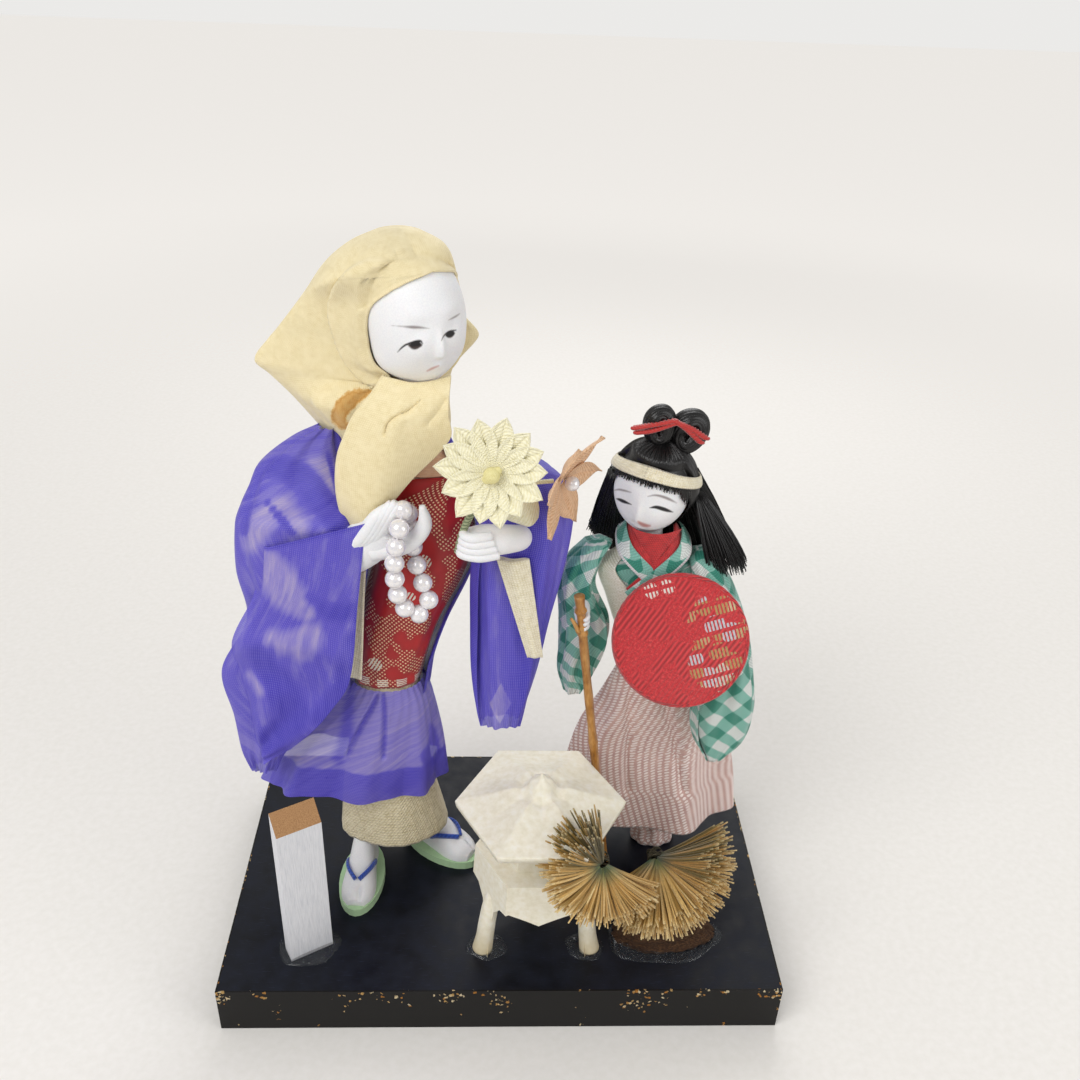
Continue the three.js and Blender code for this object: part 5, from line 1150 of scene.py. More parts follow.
# %% inner sleeves
v, u = grid_of(40, 48)
at = between([[0, -4.6, 95.5], [1, -10.2, 67]], v)
w = 4 * u - 3
shown = np.maximum(w, 0)
inner_right = np.stack([at[..., 0] + (1.8 + 3.4 * v) * shown + 4.0 * np.minimum(w, 0),
                        -9.9 + 0.8 * np.sin(math.pi * shown) - 0.4 * np.sin(6 * v) + 0.4 * np.sin(2.2 * w),
                        at[..., 1] - 0.6 * u], -1)
v, u = grid_of(40, 72)
w = 1 - np.abs(2 * u - 1)
fold_back = 0.9 * np.where(u > 0.5, 1.0, 0.0) * (1 - w ** 6)
inner_left = np.stack([24.2 + 7 * v + (6.6 - 3.4 * v) * w,
                       -10.9 + 0.5 * np.cos(TAU * w) - 0.3 * v + fold_back,
                       98.8 - 24.8 * v + 0.6 * np.sin(math.pi * w) * v], -1)
for side, inner in (("right", inner_right), ("left", inner_left)):
    fold_sheet(f"nun_lining_sleeve_{side}", inner + NUN_AT, inner_cream,
               [f"nun_inner_sleeve_{side}"], thick=0.5)

# %% [markdown]
# ## The hood
# One stiff cloth wraps the head: it hangs to a corner at each side, and its edge rolls into
# a raised fold round the face. The form is a lofted oval with a slit for the face. Near the
# slit each point slides from the oval onto the head, over a ridge and a valley.

# %% hood
HOOD = [[112, -6, 12, -3, 12.5], [117, -8, 13.2, -3, 13], [122.6, -12.2, 14.2, -3.4, 13.4],
        [128, -16.4, 14.2, -4, 13.6], [132.4, -20.4, 14.6, -4.6, 13.6], [135, -22.8, 15.6, -5, 13.4],
        [139.5, -19.8, 19.6, -5.8, 13.4], [141.2, -18.4, 20.2, -6.2, 13.4], [145, -15.6, 17.2, -7, 13.2],
        [149, -12.8, 16.2, -7.6, 12.8], [155.5, -8.4, 15.4, -8.4, 10.8], [159.6, -3.6, 13.6, -6.2, 8],
        [162, 1.4, 9.4, -2.6, 4]]
RIM_LEFT = [[-20, 0], [-16, -0.6], [-13.4, -1.0], [-12.2, -1.18], [-11.4, -1.36], [-10.6, -1.5],
            [-9.7, -1.57], [-8, -1.65], [-4.5, -1.67], [-0.8, -1.62], [1.5, -1.56], [3.3, -1.46],
            [4.7, -1.33], [5.94, -1.15], [7.46, -0.86], [8.5, -0.55], [9.0, -0.3], [9.3, -0.05],
            [9.5, 0.2]]
RIM_RIGHT = [[-20, 0], [-16, 0.55], [-13.2, 0.9], [-11.8, 1.08], [-8, 1.5], [0, 1.55], [5, 1.5], [7, 1.2],
             [7.96, 0.93], [8.7, 0.62], [9.2, 0.4], [9.5, 0.2]]
HEAD_MIDDLE, HEAD_TALL, AROUND, ARM = 146.5, 13.5, 1.42, 10.0
heights = np.concatenate([np.linspace(113.5, 133.6, 60, endpoint=False),
                          np.linspace(133.6, 154, 66, endpoint=False),
                          np.linspace(154, 156.1, 40, endpoint=False), np.linspace(156.1, 161.9, 22)])
v, u = grid_of(len(heights), 250)
z = np.broadcast_to(heights[:, None], u.shape)
t = heights - HEAD_MIDDLE
left_rim, right_rim = (np.interp(t, *np.array(side).T)[:, None] for side in (RIM_LEFT, RIM_RIGHT))
front_angle = 1.5 * math.pi + 0.35
phi = TAU * u + right_rim / AROUND * (1 - u) ** 5 + left_rim / AROUND * u ** 5
phi = np.where(phi > math.pi, phi - TAU, phi)
theta = front_angle + phi
outline = np.array(RIM_LEFT + RIM_RIGHT[::-1])[:, ::-1] * [ARM, 1]
spot = np.stack([phi * AROUND * ARM, z - HEAD_MIDDLE], -1)
from_rim = np.full(u.shape, 1e3)
for a, b in zip(outline, np.roll(outline, -1, 0)):
    way = b - a + 1e-9
    along = np.clip(((spot - a) * way).sum(-1) / (way * way).sum(), 0, 1)
    from_rim = np.minimum(from_rim, np.linalg.norm(spot - a - along[..., None] * way, axis=-1))
low = smooth_step(158, 136, z)
folds = 0.7 * low * np.cos(7 * theta + z / 14) + 0.2 * low * np.cos(17 * theta + z / 6)
outer = oval(HOOD, z, theta, out=folds, power=1.7)
rise = np.arcsin(np.clip((z - HEAD_MIDDLE) / HEAD_TALL, -1, 1))
close = head_place(head_point(NUN_HEAD, np.clip(phi * AROUND, -2.8, 2.8), rise, grow=0.35), NUN_HEAD, 0)
leftward, topward = smooth_step(0.2, -0.9, phi), smooth_step(-2, 9, z - HEAD_MIDDLE)
reach = (6.0 + 9.0 * leftward) * (1 - topward) + 5.0 * topward
slide = smooth_step(0, 1, (from_rim - 2.5 * leftward * (1 - topward)) / reach)
slide = 1 - (1 - slide) * smooth_step(-19, -9.5, z - HEAD_MIDDLE) * smooth_step(1.95, 1.1, np.abs(phi))
outward = outer - np.array([5.0, 3.0, 0.0])
outward[..., 2] = 0
outward = unit(outward)
hood_grid = close + (outer - close) * slide[..., None]
spot = picture(hood_grid + NUN_AT)
on_front = smooth_step(0.15, 0.45, -np.sin(theta))
band = stroke(spot, 2.2, (386, 262, 1), (371, 267, 7), (355, 286, 14), (350, 311, 16.5), (354, 336, 14.5),
              (361, 357, 12), (371, 372, 9.5), (382, 386, 5))
creased = (stroke(spot, 2.5, (366.6, 306, 0.4), (366.4, 295, 1.0), (368.4, 282, 1.3), (374, 272, 1.4),
                  (382, 266, 1.0), (393, 262, 0.1))
           + 0.6 * stroke(spot, 6, (336, 420, 0.5), (330, 395, 2.0), (322, 350, 2.0), (314, 320, 0.3))
           + 0.5 * stroke(spot, 5, (384, 236, 0.3), (392, 246, 1.5), (398, 258, 0.5)))
lift = (1.4 * band * smooth_step(0, 1.2, from_rim) - 0.9 * creased) * on_front
hood_grid = hood_grid + outward * lift[..., None]
crown = np.broadcast_to(hood_grid[-1:].mean(1, keepdims=True) + [0, 0, 0.5], hood_grid[-1:].shape)
hood_grid = np.concatenate([hood_grid, 0.5 * (hood_grid[-1:] + crown) + [0, 0, 0.15], crown])
made = fold_sheet("nun_hood_wrap", hood_grid + NUN_AT, hood_cloth, ["nun_hood"],
                  thick=0.5, weld=True)
spot = picture(hood_grid + NUN_AT)
wet = stroke(spot, 6, (370, 392, 3), (357, 396, 7), (346, 404, 9), (339, 415, 8), (343, 423, 6),
             (352, 427, 3))
number_at(made, "stain", wet * (hood_grid[..., 1] < 2))

# %% [markdown]
# The front tail is the cloth's long end, brought across under the chin and left to hang.
# Its left edge rolls back on itself. Under the chin its top edge dips, with soft creases.

# %% hood tail
TAIL_LEFT = [[0, 3.0, 135.8], [0.12, 0.2, 132.2], [0.22, -2.5, 129], [0.36, -4.4, 125], [0.5, -6, 120.7],
             [0.72, -6.7, 114.2], [0.92, -6.1, 108.2], [1, -5.2, 106.2]]
TAIL_RIGHT = [[0, 15, 136.4], [0.2, 14.6, 130], [0.36, 14.8, 125], [0.62, 7.4, 116.4], [0.82, 3.3, 111.2],
              [1, -0.8, 106.7]]
v, u = grid_of(110, 110)
roll = 0.14
w = (u - roll) / (1 - roll)
turned = np.clip(-w * (1 - roll) / roll, 0, 1) * math.pi
flat_w = np.maximum(w, 0)
left, right = between(TAIL_LEFT, v), between(TAIL_RIGHT, v)
x = left[..., 0] + (right[..., 0] - left[..., 0]) * flat_w - 0.9 * np.sin(turned)
dip = 1.2 * np.sin(math.pi * flat_w) * smooth_step(0.42, 0, v)
zz = left[..., 1] + (right[..., 1] - left[..., 1]) * flat_w - dip
out_y = between([[0, -5.0], [0.1, -7.6], [0.35, -9.0], [1, -9.8]], v)[..., 0]
bulge = 1.7 * np.sin(math.pi * flat_w) * smooth_step(0, 0.2, v)
swell = 0.8 * np.exp(-((flat_w - 0.34 - 0.3 * v) / 0.1) ** 2) * np.exp(-((v - 0.2) / 0.2) ** 2)
y = out_y - bulge + 0.9 * (1 - np.cos(turned)) - swell
tail = np.stack([x, y, zz], -1)
spot = picture(tail + NUN_AT)
deep = stroke(spot, 4, (385, 434, 0.4), (388, 425, 1.6), (396, 418, 2.0), (408, 412, 1.4), (420, 402, 0.2))
shallow = stroke(spot, 6, (446, 400, 1.5), (438, 412, 2), (428, 424, 0.5))
tail[..., 1] += 1.3 * deep + 0.8 * shallow
fold_sheet("nun_hood_tail", tail + NUN_AT, hood_cloth, (),
           thick=0.5)

# %% [markdown]
# ## Hands, beads and flowers
# A hand is a few tapered fingers laid side by side on a flat palm, all swept tubes of clay.

# %% hands
palm = [(-9.5, -9.2, 97.0), (-5.0, -10.8, 100.4), (-1.0, -11.8, 103.8), (1.4, -12.3, 106.6)]
right_hand = [sweep(palm, [1.9, 2.1, 2.0, 1.4], sides=24, samples=40, flat=2.3, at=NUN_AT)]
TIPS = ((0.0, (5.2, -12.9, 112.4)), (-0.9, (4.4, -12.6, 112.9)),
        (-1.8, (3.5, -12.3, 112.6)), (-2.7, (2.5, -12.0, 111.6)))
for shift, tip in TIPS:
    path = [(-3.8 + shift, -11.2, 101.0), (0.0 + shift, -12.2 + 0.1 * shift, 105.0),
            (3.0 + 0.95 * shift, -12.6, 109.4), tip]
    right_hand.append(sweep(path, [1.7, 1.75, 1.5, 0.8], sides=16, samples=30, at=NUN_AT))
thumb = [(-1.0, -12.0, 101.2), (4.4, -12.4, 102.4), (8.0, -12.4, 104.6), (9.9, -12.6, 108.2),
         (9.5, -13.0, 112.3)]
right_hand.append(sweep(thumb, [2.1, 1.9, 1.7, 1.5, 0.6], sides=16, samples=40, at=NUN_AT))
palm = [(25.6, -5.6, 101.4), (28.9, -9.3, 103.3), (25.6, -12.3, 104.6), (21.2, -13.8, 105.2),
        (18.2, -14.0, 105.5)]
left_hand = [sweep(palm, [2.3, 2.5, 2.9, 3.1, 2.3], sides=24, samples=50, flat=1.05, at=NUN_AT)]
for k in range(4):
    top = 103.1 + 1.45 * k
    path = [(24.6 - 0.5 * k, -15.9, top), (20.8 - 0.4 * k, -17.0, top + 0.1),
            (17.3 + 0.15 * k, -15.9, top + 0.15), (17.0 + 0.3 * k, -13.6, top + 0.1)]
    left_hand.append(sweep(path, [0.9, 1.05, 1.0, 0.7], sides=12, samples=26, at=NUN_AT))
for side, hand in (("right", right_hand), ("left", left_hand)):
    piece(f"nun_{side}_hand", hand, clay, [f"nun_hand_{side}"])
print("Tubes in the right hand:", len(right_hand), "and in the left:", len(left_hand))

# %% [markdown]
# The string of beads is a loop of imitation pearls: glass balls in a pearly lacquer, each
# drawn in a little at its two holes. It swings on the hand, so it rides on its own body.

# %% pearls
pearl = finish("imitation_pearl_lacquer", Roughness=0.18, Metallic=0.25, Coat_Weight=0.8, Coat_Roughness=0.06)
link(ramp(noise(2.4, 2.0, Distortion=1.2), [(0.3, "dcdbe4"), (0.5, "efecee"), (0.7, "f6efe9")]))
BEADS = [(5.7, -12.4, 111), (5.2, -16.2, 109), (4.4, -16.3, 105), (4, -16.1, 101), (3.9, -15.7, 97),
         (4.3, -15.2, 93), (5.6, -14.7, 89.3), (8.4, -14, 87.4), (10.4, -13.2, 90.4), (9.2, -12.2, 93.9),
         (8, -11, 97.4), (7.2, -9.4, 100.8), (6.8, -8.2, 104.4), (6.4, -8.8, 108.2)]


def bead(at, axis, radius=2.0):
    """Ball with a dimple at both holes: radius shrinks where the surface meets the thread's line."""
    v, u = grid_of(17, 24, around=True)
    lat, a = math.pi * (v - 0.5), TAU * u
    r = radius * (1 - 0.12 * np.exp(-((np.abs(lat) - math.pi / 2) / 0.22) ** 2))
    axis = unit(np.asarray(axis, float))
    side = unit(np.cross(axis, [0.2, 0.9, 0.37]))
    over = np.cross(axis, side)
    ring = np.cos(a)[..., None] * side + np.sin(a)[..., None] * over
    around = (r * np.cos(lat))[..., None] * ring + (r * np.sin(lat))[..., None] * axis
    return surface(np.asarray(at, float) + around, around=True)


loop = np.array(BEADS)
ways = np.roll(loop, -1, 0) - np.roll(loop, 1, 0)
pearls = [bead(at + NUN_AT, way) for at, way in zip(loop, ways)]
pearls.append(sweep(np.concatenate([loop, loop[:1]]), 0.3, sides=6, samples=140, at=NUN_AT))
piece("rosary_pearls", pearls, pearl, ["rosary"], body="rosary")
print("Pearls:", len(BEADS))

# %% [markdown]
# Flowers are cut from stiffened ribbon and pressed, so each petal is dished, pointed and
# ribbed. One petal is a grid: its half width swells and closes to a point along its length.


# %% ribbon flowers
def ribbon_finish(name, dark, light):
    """Pressed ribbon: a twill of fine ribs across the petal and slow changes of tone."""
    material = finish(name, Roughness=0.6, Sheen_Weight=0.25)
    ribs = stripes(0.6, "Y", 0.5, Distortion=0.8)
    link(ramp(calc("MULTIPLY_ADD", ribs, 0.35, noise(3, 4.0)), [(0.35, dark), (0.8, light)]))
    bump(ribs, 0.12, 0.8)
    return material


cream_petal = ribbon_finish("cream_ribbon_petal", "e8e0b4", "f6f1d4")
peach_petal = ribbon_finish("peach_ribbon_petal", "cf9f74", "e8bf98")


def flower(radius, petals, wide, dish, close=9, twist=0.0):
    """Petals round a middle in the x z plane: half width swells as a sine of the way out, then closes."""
    v, u = grid_of(26, 17)
    s, parts = 2 * u - 1, []
    groove = 0.28 * np.exp(-(s / 0.16) ** 2) + 0.12 * np.cos(3 * math.pi * s)
    lift = dish * v ** 2 + 0.9 * (s ** 2) * np.sin(math.pi * v) * 0.6 - groove * np.sin(math.pi * v)
    lift = lift + twist * s * v
    half = wide * (0.16 + np.sin(math.pi * np.clip(v * 0.93, 0, 1)) ** 0.75) * (1 - v ** close)
    for k in range(petals):
        phi = TAU * k / petals + 0.06 * math.sin(5 * k + 1)
        r = radius * (1 + 0.04 * math.sin(3 * k)) * (0.06 + 0.94 * v)
        parts.append(surface(np.stack([r * math.cos(phi) - half * s * math.sin(phi), -lift,
                                       r * math.sin(phi) + half * s * math.cos(phi)], -1)))
    return parts


def ribbon(name, parts, material, replaces, thick=0.25):
    """A piece of thin ribbon, given a wall."""
    made = piece(name, parts, material, replaces)
    made.modifiers.new("thickness", "SOLIDIFY").thickness = thick * MM


WHITE_PETALS, PEACH_PETALS = 14, 6
for colour, petals, turned, at, finished in (
        ("white", flower(10.6, WHITE_PETALS, 2.15, 1.6), turn(2, -4) @ turn(0, -16),
         (23, -17.4, 122.6), cream_petal),
        ("peach", flower(11.4, PEACH_PETALS, 2.9, 3.2, close=4, twist=0.5), turn(1, 14) @ turn(2, 60),
         (36.6, -11.4, 117.4), peach_petal)):
    parts = [(grid @ turned.T + np.array(at) + NUN_AT, faces, uv) for grid, faces, uv in petals]
    ribbon(f"ribbon_flower_{colour}", parts, finished, [f"flower_{colour}"])
pistil = finish("painted_yellow_pistil", Roughness=0.45)
speck = noise(0.6, 3.0)
link(ramp(speck, [(0.35, "d9cd84"), (0.65, "efe7b0")]))
bump(speck, 0.15, 0.6)
SEEDS = (((23, -19.3, 122.6), (0.3, -1, 0.4), 1.6), ((22.1, -19.0, 121.6), (0.3, -1, 0.1), 0.9),
         ((24.1, -18.9, 123.4), (0.3, -1, 0.2), 0.8))
piece("flower_white_pistil", [bead(NUN_AT + at, way, size) for at, way, size in SEEDS], pistil,
      ["flower_white_bead"])
piece("flower_peach_pearl", [bead(NUN_AT + (38.7, -11.8, 117.2), (1, -0.2, 0), 1.5)], pearl,
      ["flower_peach_bead"])
print("Petals:", WHITE_PETALS, "white and", PEACH_PETALS, "peach")

# %% [markdown]
# The white flower has a wrapped stem and one leaf. A thin thread leads to the peach one.

# %% leaf and stems
v, u = grid_of(40, 24)
w = 7.5 * np.sin(math.pi * (0.12 + 0.8 * v)) ** 0.7
leaf = np.stack([25.4 + 5.6 * v + 0.8 * (u - 0.5) * w, -13.6 - 1.6 * np.sin(math.pi * u) + 2 * v,
                 117.5 - 9 * v + 0.62 * (u - 0.5) * w + 0.2 * np.sin(9 * v)], -1)
ribbon("ribbon_leaf", [surface(leaf + NUN_AT)], cream_petal, ["flower_leaf"], thick=0.3)
stalk = finish("paper_wrapped_green_stem", Roughness=0.7)
wrap = stripes(0.5, "Z", where=place(per_mm(1)), Distortion=2.0)
link(ramp(wrap, [(0.2, "6f7a5c"), (0.8, "a3ab88")]))
bump(wrap, 0.15, 0.7)
MAIN_STEM = [(22.9, -16.6, 121.6), (21.2, -16.2, 117.0), (19.2, -15.4, 112.4), (17.4, -15, 107.5),
             (16.4, -14.2, 102.6)]
SIDE_STEM = [(20.4, -16.0, 115), (18.9, -16.9, 112.6), (17.6, -17.4, 109.8)]
THREAD = [(35, -11.2, 117.4), (31, -12.6, 117.6), (27.4, -14.2, 117.2), (24.5, -15.6, 117.2)]
piece("flower_green_stem", [sweep(MAIN_STEM, 0.75, sides=10, samples=50, at=NUN_AT),
                            sweep(SIDE_STEM, 0.5, sides=8, samples=20, at=NUN_AT)],
      stalk, ["flower_stem"])
piece("flower_peach_stem_thread", [sweep(THREAD, 0.45, sides=8, samples=30, at=NUN_AT)], cream_petal,
      ["flower_peach_stem"])
print("Stems:", len(MAIN_STEM), "points on the longest")

# %% [markdown]
# ## Feet
# The socks are split-toed. A foot is a profile carried from heel to toe: its height falls
# over the instep while its width swells to the ball of the foot, and the sole stays flat.

# %% feet and thongs
FOOT_LENGTH, FOOT_WIDTH, SANDAL_TOP = 19.2, 8.4, 2.3
FOOT_HEIGHTS = [[0, 6.5], [0.12, 11.5], [0.3, 12.6], [0.45, 9.4], [0.6, 6.6], [0.8, 4.6], [0.93, 3.4],
                [1, 2.2]]
FOOT_SHARES = [[0, 0.55], [0.12, 0.72], [0.3, 0.72], [0.5, 0.86], [0.74, 1.0], [0.9, 0.86], [1, 0.5]]


def foot_point(t, a):
    """Foot surface: t from heel to toe, a round the section; a groove splits the toes."""
    height = between(FOOT_HEIGHTS, t)[..., 0]
    half = FOOT_WIDTH / 2 * between(FOOT_SHARES, t)[..., 0]
    c, s = np.cos(a), np.sin(a)
    x = half * np.sign(c) * np.abs(c) ** 0.85
    z = np.where(s > 0, height * s ** 0.9, 0.35 * s)
    split = smooth_step(0.76, 0.92, t) * np.exp(-((x - 0.9) / 0.42) ** 2) * (s > 0)
    return np.stack([x, FOOT_LENGTH * (0.5 - t), SANDAL_TOP + z * (1 - 0.35 * split)], -1)


def stand_shoe(points, at, degrees):
    """Turns points of a shoe about z and moves them under the woman."""
    return points @ turn(2, degrees).T + np.array([*at, 0]) + NUN_AT


cord_blue = finish("blue_cotton_thong", Roughness=0.75, Sheen_Weight=0.4)
twist = weave(0.6, 0.6)
link(ramp(twist, [(0.0, "1c3f9c"), (0.8, "2f63d6")]))
bump(twist, 0.15, 0.7)
sandal = finish("pale_green_felt_sandal", Roughness=0.8, Sheen_Weight=0.2)
fuzz = noise(0.6, 5.0, 0.7)
link(ramp(fuzz, [(0.3, "a2c696"), (0.6, "badbad"), (0.8, "cfe5c3")]))
bump(fuzz, 0.15, 0.6)
for side, at, degrees in (("right", (-8.2, -7), -3.6), ("left", (11.2, 4.6), 55.8)):
    v, u = grid_of(60, 64, around=True)
    grid = capped(foot_point(0.5 - 0.5 * np.cos(math.pi * v), TAU * u), both=True)
    piece(f"nun_sock_foot_{side}", [surface(stand_shoe(grid, at, degrees), around=True)], clay,
          [f"nun_foot_{side}"])
    straps = []
    for sign in (-1, 1):
        share = np.linspace(0, 1, 8)
        a = math.pi / 2 - sign * (1.25 - 1.2 * share)
        path = foot_point(0.44 + 0.36 * share ** 0.9, a) + [0.12 * sign, 0, 0.35]
        straps.append(sweep(stand_shoe(path, at, degrees), 0.42, sides=10, samples=40, flat=2.0))
    piece(f"nun_blue_thong_{side}", straps, cord_blue, [f"nun_thong_{side}"])
dress(sandal, "nun_sandal_right", "nun_sandal_left")
print("Foot length in mm:", FOOT_LENGTH)

# %% [markdown]
# ## The child's head and hair
# The head is made as the woman's is. The hair is black silk thread: a combed cap, two
# looped buns over the crown, a fringe below the band and long locks behind. The cap's
# height over the head waves quickly round the crown, which reads as combed threads.

# %% the child's head
head("child_clay_head", CHILD_HEAD, CHILD_AT, 0.75,
     [(-6.4, 0.6, 92.5), (-6.5, 0.7, 96), (-6.9, 0.9, 100)], 2.3, "child_head",
     line=[[(616.2, 498.6, 0.3), (619.5, 499.6, 1.4), (624, 501.6, 1.6), (631.5, 504.6, 0.3)],
           [(649.6, 507.8, 0.3), (656, 507.2, 1.6), (663, 509.0, 2.0), (668, 510.6, 1.5), (673, 512.2, 0.3)]],
     brow=[[(613.5, 490.4, 0.3), (619, 489.6, 0.9), (625, 490.8, 0.9), (631, 492.4, 0.3)],
           [(648, 496.4, 0.3), (655, 495.2, 0.9), (663, 496.8, 1.3), (670, 499.6, 1.2), (676.5, 503, 0.3)]],
     lip=[[(638.2, 521.6, 0.7), (642, 524.4, 1.8), (646, 525.6, 1.7), (650, 525.8, 0.7)]])
print("Face towards", -CHILD_HEAD["turn"], "degrees left of the front")

# %% [markdown]
# Loose strands are bristles with soft ends: locks that fall behind, a few over the shoulder
# and a short fringe. They are drawn by chance, in an order that stays the same.

# %% black hair
hair = finish("black_silk_hair", Roughness=0.27, Sheen_Weight=0.05)
fine = noise((1800, 1800, 120), 4.0)
link(ramp(fine, [(0.35, "040304"), (0.6, "0b090a"), (0.8, "1a1615")]))
bump(fine, 0.08, 0.5)
v, u = grid_of(70, 420, around=True)
a = TAU * u - math.pi
lowest = np.radians(30 - 80 * smooth_step(1.25, 1.7, np.abs(a)))
rise = math.pi / 2 * 0.999 + (lowest - math.pi / 2) * v
comb = 0.13 * np.cos(70 * a) + 0.1 * np.cos(31 * a + 2 * v) + 0.12 * np.sin(7 * a + 5 * v)
cap = head_point(CHILD_HEAD, a, rise)
lift = (1.7 + comb * np.sin(math.pi * np.clip(v, 0, 0.85)) * smooth_step(0.7, 0.5, v)
        - 1.1 * smooth_step(0.6, 0.8, v))
cap = head_place(cap + unit(cap) * lift[..., None], CHILD_HEAD, CHILD_AT)
HAIR_FALL = [[84.6, -12.6, 13.4, 3.4, 10.6], [92, -19, 12.6, 2.6, 11.4], [98, -18.4, 9.6, 1.8, 11.6],
             [105, -17.2, 4.6, 0.6, 11.4], [109.4, -16, 2.4, 0.6, 9.4]]
LOCKS, OVER_LOCKS, FRINGE = 620, 340, 520
v, u = grid_of(40, 300, around=True)
z = 87 + 22.4 * v
thread_folds = -0.9 + 0.25 * np.cos(60 * TAU * u) + 0.3 * np.sin(9 * TAU * u + z / 3)
fall = oval(HAIR_FALL, z, TAU * u, out=thread_folds, power=2.3)
phi = chance.uniform(0, TAU, LOCKS)
left_share = 0.5 - 0.5 * np.cos(phi)
points = []
for height, out in ((108.5, -0.4), (97.5, 0.7), (84.4, 0.3)):
    heights = np.full(LOCKS, height)
    if height < 90:
        heights = heights + 6.0 * left_share * (np.cos(phi) < 0) + chance.uniform(0, 3.4, LOCKS)
    row = oval(HAIR_FALL, heights, phi, out=out + chance.normal(0, 0.35, LOCKS), power=2.3)
    points.append(row + chance.normal(0, 0.3, (LOCKS, 3)) * (1.0 if height < 90 else 0.4) + CHILD_AT)
locks = bristles(points[0], points[1] + np.array([0, 0.4, 0]), points[2], chance.uniform(0.13, 0.24, LOCKS),
                 chance.uniform(0, 1, LOCKS), steps=8)
a = chance.uniform(-1.35, 1.35, FRINGE)
brim = 0.44 + 0.27 * np.cos(a)
fall_short = 0.2 + 0.13 * chance.uniform(0, 1, FRINGE) ** 2 + 0.25 * smooth_step(0.9, 1.3, np.abs(a))
three_points = ((a, brim + 0.08, 1.2), (a, brim - 0.06, 1.1), (a * 1.02, brim - fall_short, 0.5))
on_brow = [head_place(head_point(CHILD_HEAD, turned, rise, grow=grow), CHILD_HEAD, CHILD_AT)
           for turned, rise, grow in three_points]
side = chance.uniform(0, 1, OVER_LOCKS)
depth = chance.uniform(0, 1, OVER_LOCKS)
root = np.stack([1.6 + 1.6 * side, -1.2 + 3.0 * depth, np.full(OVER_LOCKS, 106.0)], -1)
bend = np.stack([3.4 + 7.6 * side, -4.6 + 5.0 * depth, 96.5 + 1.5 * side], -1)
low = 87.2 + 2.6 * side + chance.uniform(-1.2, 1.6, OVER_LOCKS)
end = np.stack([6.4 + 8.2 * side, -5.4 + 5.0 * depth, low], -1)
over = bristles(root + CHILD_AT, bend + CHILD_AT, end + CHILD_AT, chance.uniform(0.14, 0.24, OVER_LOCKS),
                chance.uniform(0, 1, OVER_LOCKS), steps=8)
fringe = bristles(*on_brow, chance.uniform(0.12, 0.2, FRINGE), chance.uniform(0, 1, FRINGE), steps=4)
hair_parts = [surface(cap, around=True), surface(capped(fall + CHILD_AT), around=True), locks, over, fringe]
piece("child_silk_hair", hair_parts, hair, ["child_hair"])


def bun(name, node, at, wide, high, lean, thick):
    """A loop of hair: an oval ring whose tube is ribbed along its length, leaned to one side."""
    v, u = grid_of(80, 48, around=True)
    t, s = TAU * v, TAU * u
    tube = thick * (1 + 0.07 * np.cos(16 * s) + 0.05 * np.sin(3 * t))
    x = (wide + tube * np.cos(s)) * np.cos(t)
    zz = (high + tube * np.cos(s)) * np.sin(t)
    y = 1.25 * tube * np.sin(s) + 0.3 * np.sin(2 * t)
    grid = np.stack([x, y, zz], -1) @ turn(1, lean).T + np.array(at) + CHILD_AT
    return piece(name, [surface(grid, around=True)], hair, [node])


bun("child_bun_loop_left", "child_bun_left", (-7.2, 1.4, 121.2), 1.5, 2.6, 4, 1.95)
bun("child_bun_loop_right", "child_bun_right", (-0.8, 2.0, 119.7), 1.85, 2.8, 24, 2.25)
print("Hair strands:", LOCKS + OVER_LOCKS + FRINGE)

# %% [markdown]
# Red cords tie the loops. A padded band of pale paper lies on the head like a ring, tilted
# up at the front.

# %% ribbon and band
red_cord = finish("red_silk_cord", Roughness=0.5, Sheen_Weight=0.4)
link(ramp(noise(0.5, 3.0), [(0.3, "8e1412"), (0.6, "c4231c"), (0.8, "e0483a")]))
tie = []
for path in ([(-12.8, -0.8, 121.4), (-9.4, -1.4, 122.4), (-4.4, -1.3, 123.5)],
             [(-12.2, -0.8, 120.4), (-9.0, -1.4, 121.2), (-4.4, -1.2, 122.9)],
             [(-4.8, -1.3, 123.5), (-2.2, -1.2, 121.9), (1.6, -1.0, 118.4)],
             [(-4.6, -1.2, 123.1), (-1.2, -1.2, 121.9), (2.6, -1.0, 119.4)]):
    tie += twisted(path, 0.42, 6, at=CHILD_AT)
piece("child_red_tie", tie, red_cord, ["child_ribbon"])
BAND_HALF, BAND_OUT, HEAD_HALF = 1.15, 2.3, 10.0
v, u = grid_of(9, 160, around=True)
tilted = 4.6 + 2.6 * np.cos(TAU * u)
band_rise = np.arcsin(np.clip((tilted + BAND_HALF * np.sin(TAU * v)) / HEAD_HALF, -0.99, 0.99))
band_out = BAND_OUT + 0.22 * np.cos(TAU * v)
outward = np.stack([np.sin(TAU * u), -np.cos(TAU * u), 0 * u], -1)
band = head_point(CHILD_HEAD, TAU * u, band_rise) + outward * band_out[..., None]
band = head_place(band, CHILD_HEAD, CHILD_AT)
piece("child_paper_headband", [surface(band, around=True)], inner_cream, ["child_headband"])
print("Headband height in mm:", 2 * BAND_HALF)

# %% [markdown]
# ## The child's clothes
# Green check on the bias is gingham: white and teal stripes cross, so a square is dark
# where two teal stripes meet, pale where one does, and white where none does. The vest is
# a metallic weave with floated dashes, and the skirt is pink net over a lining.


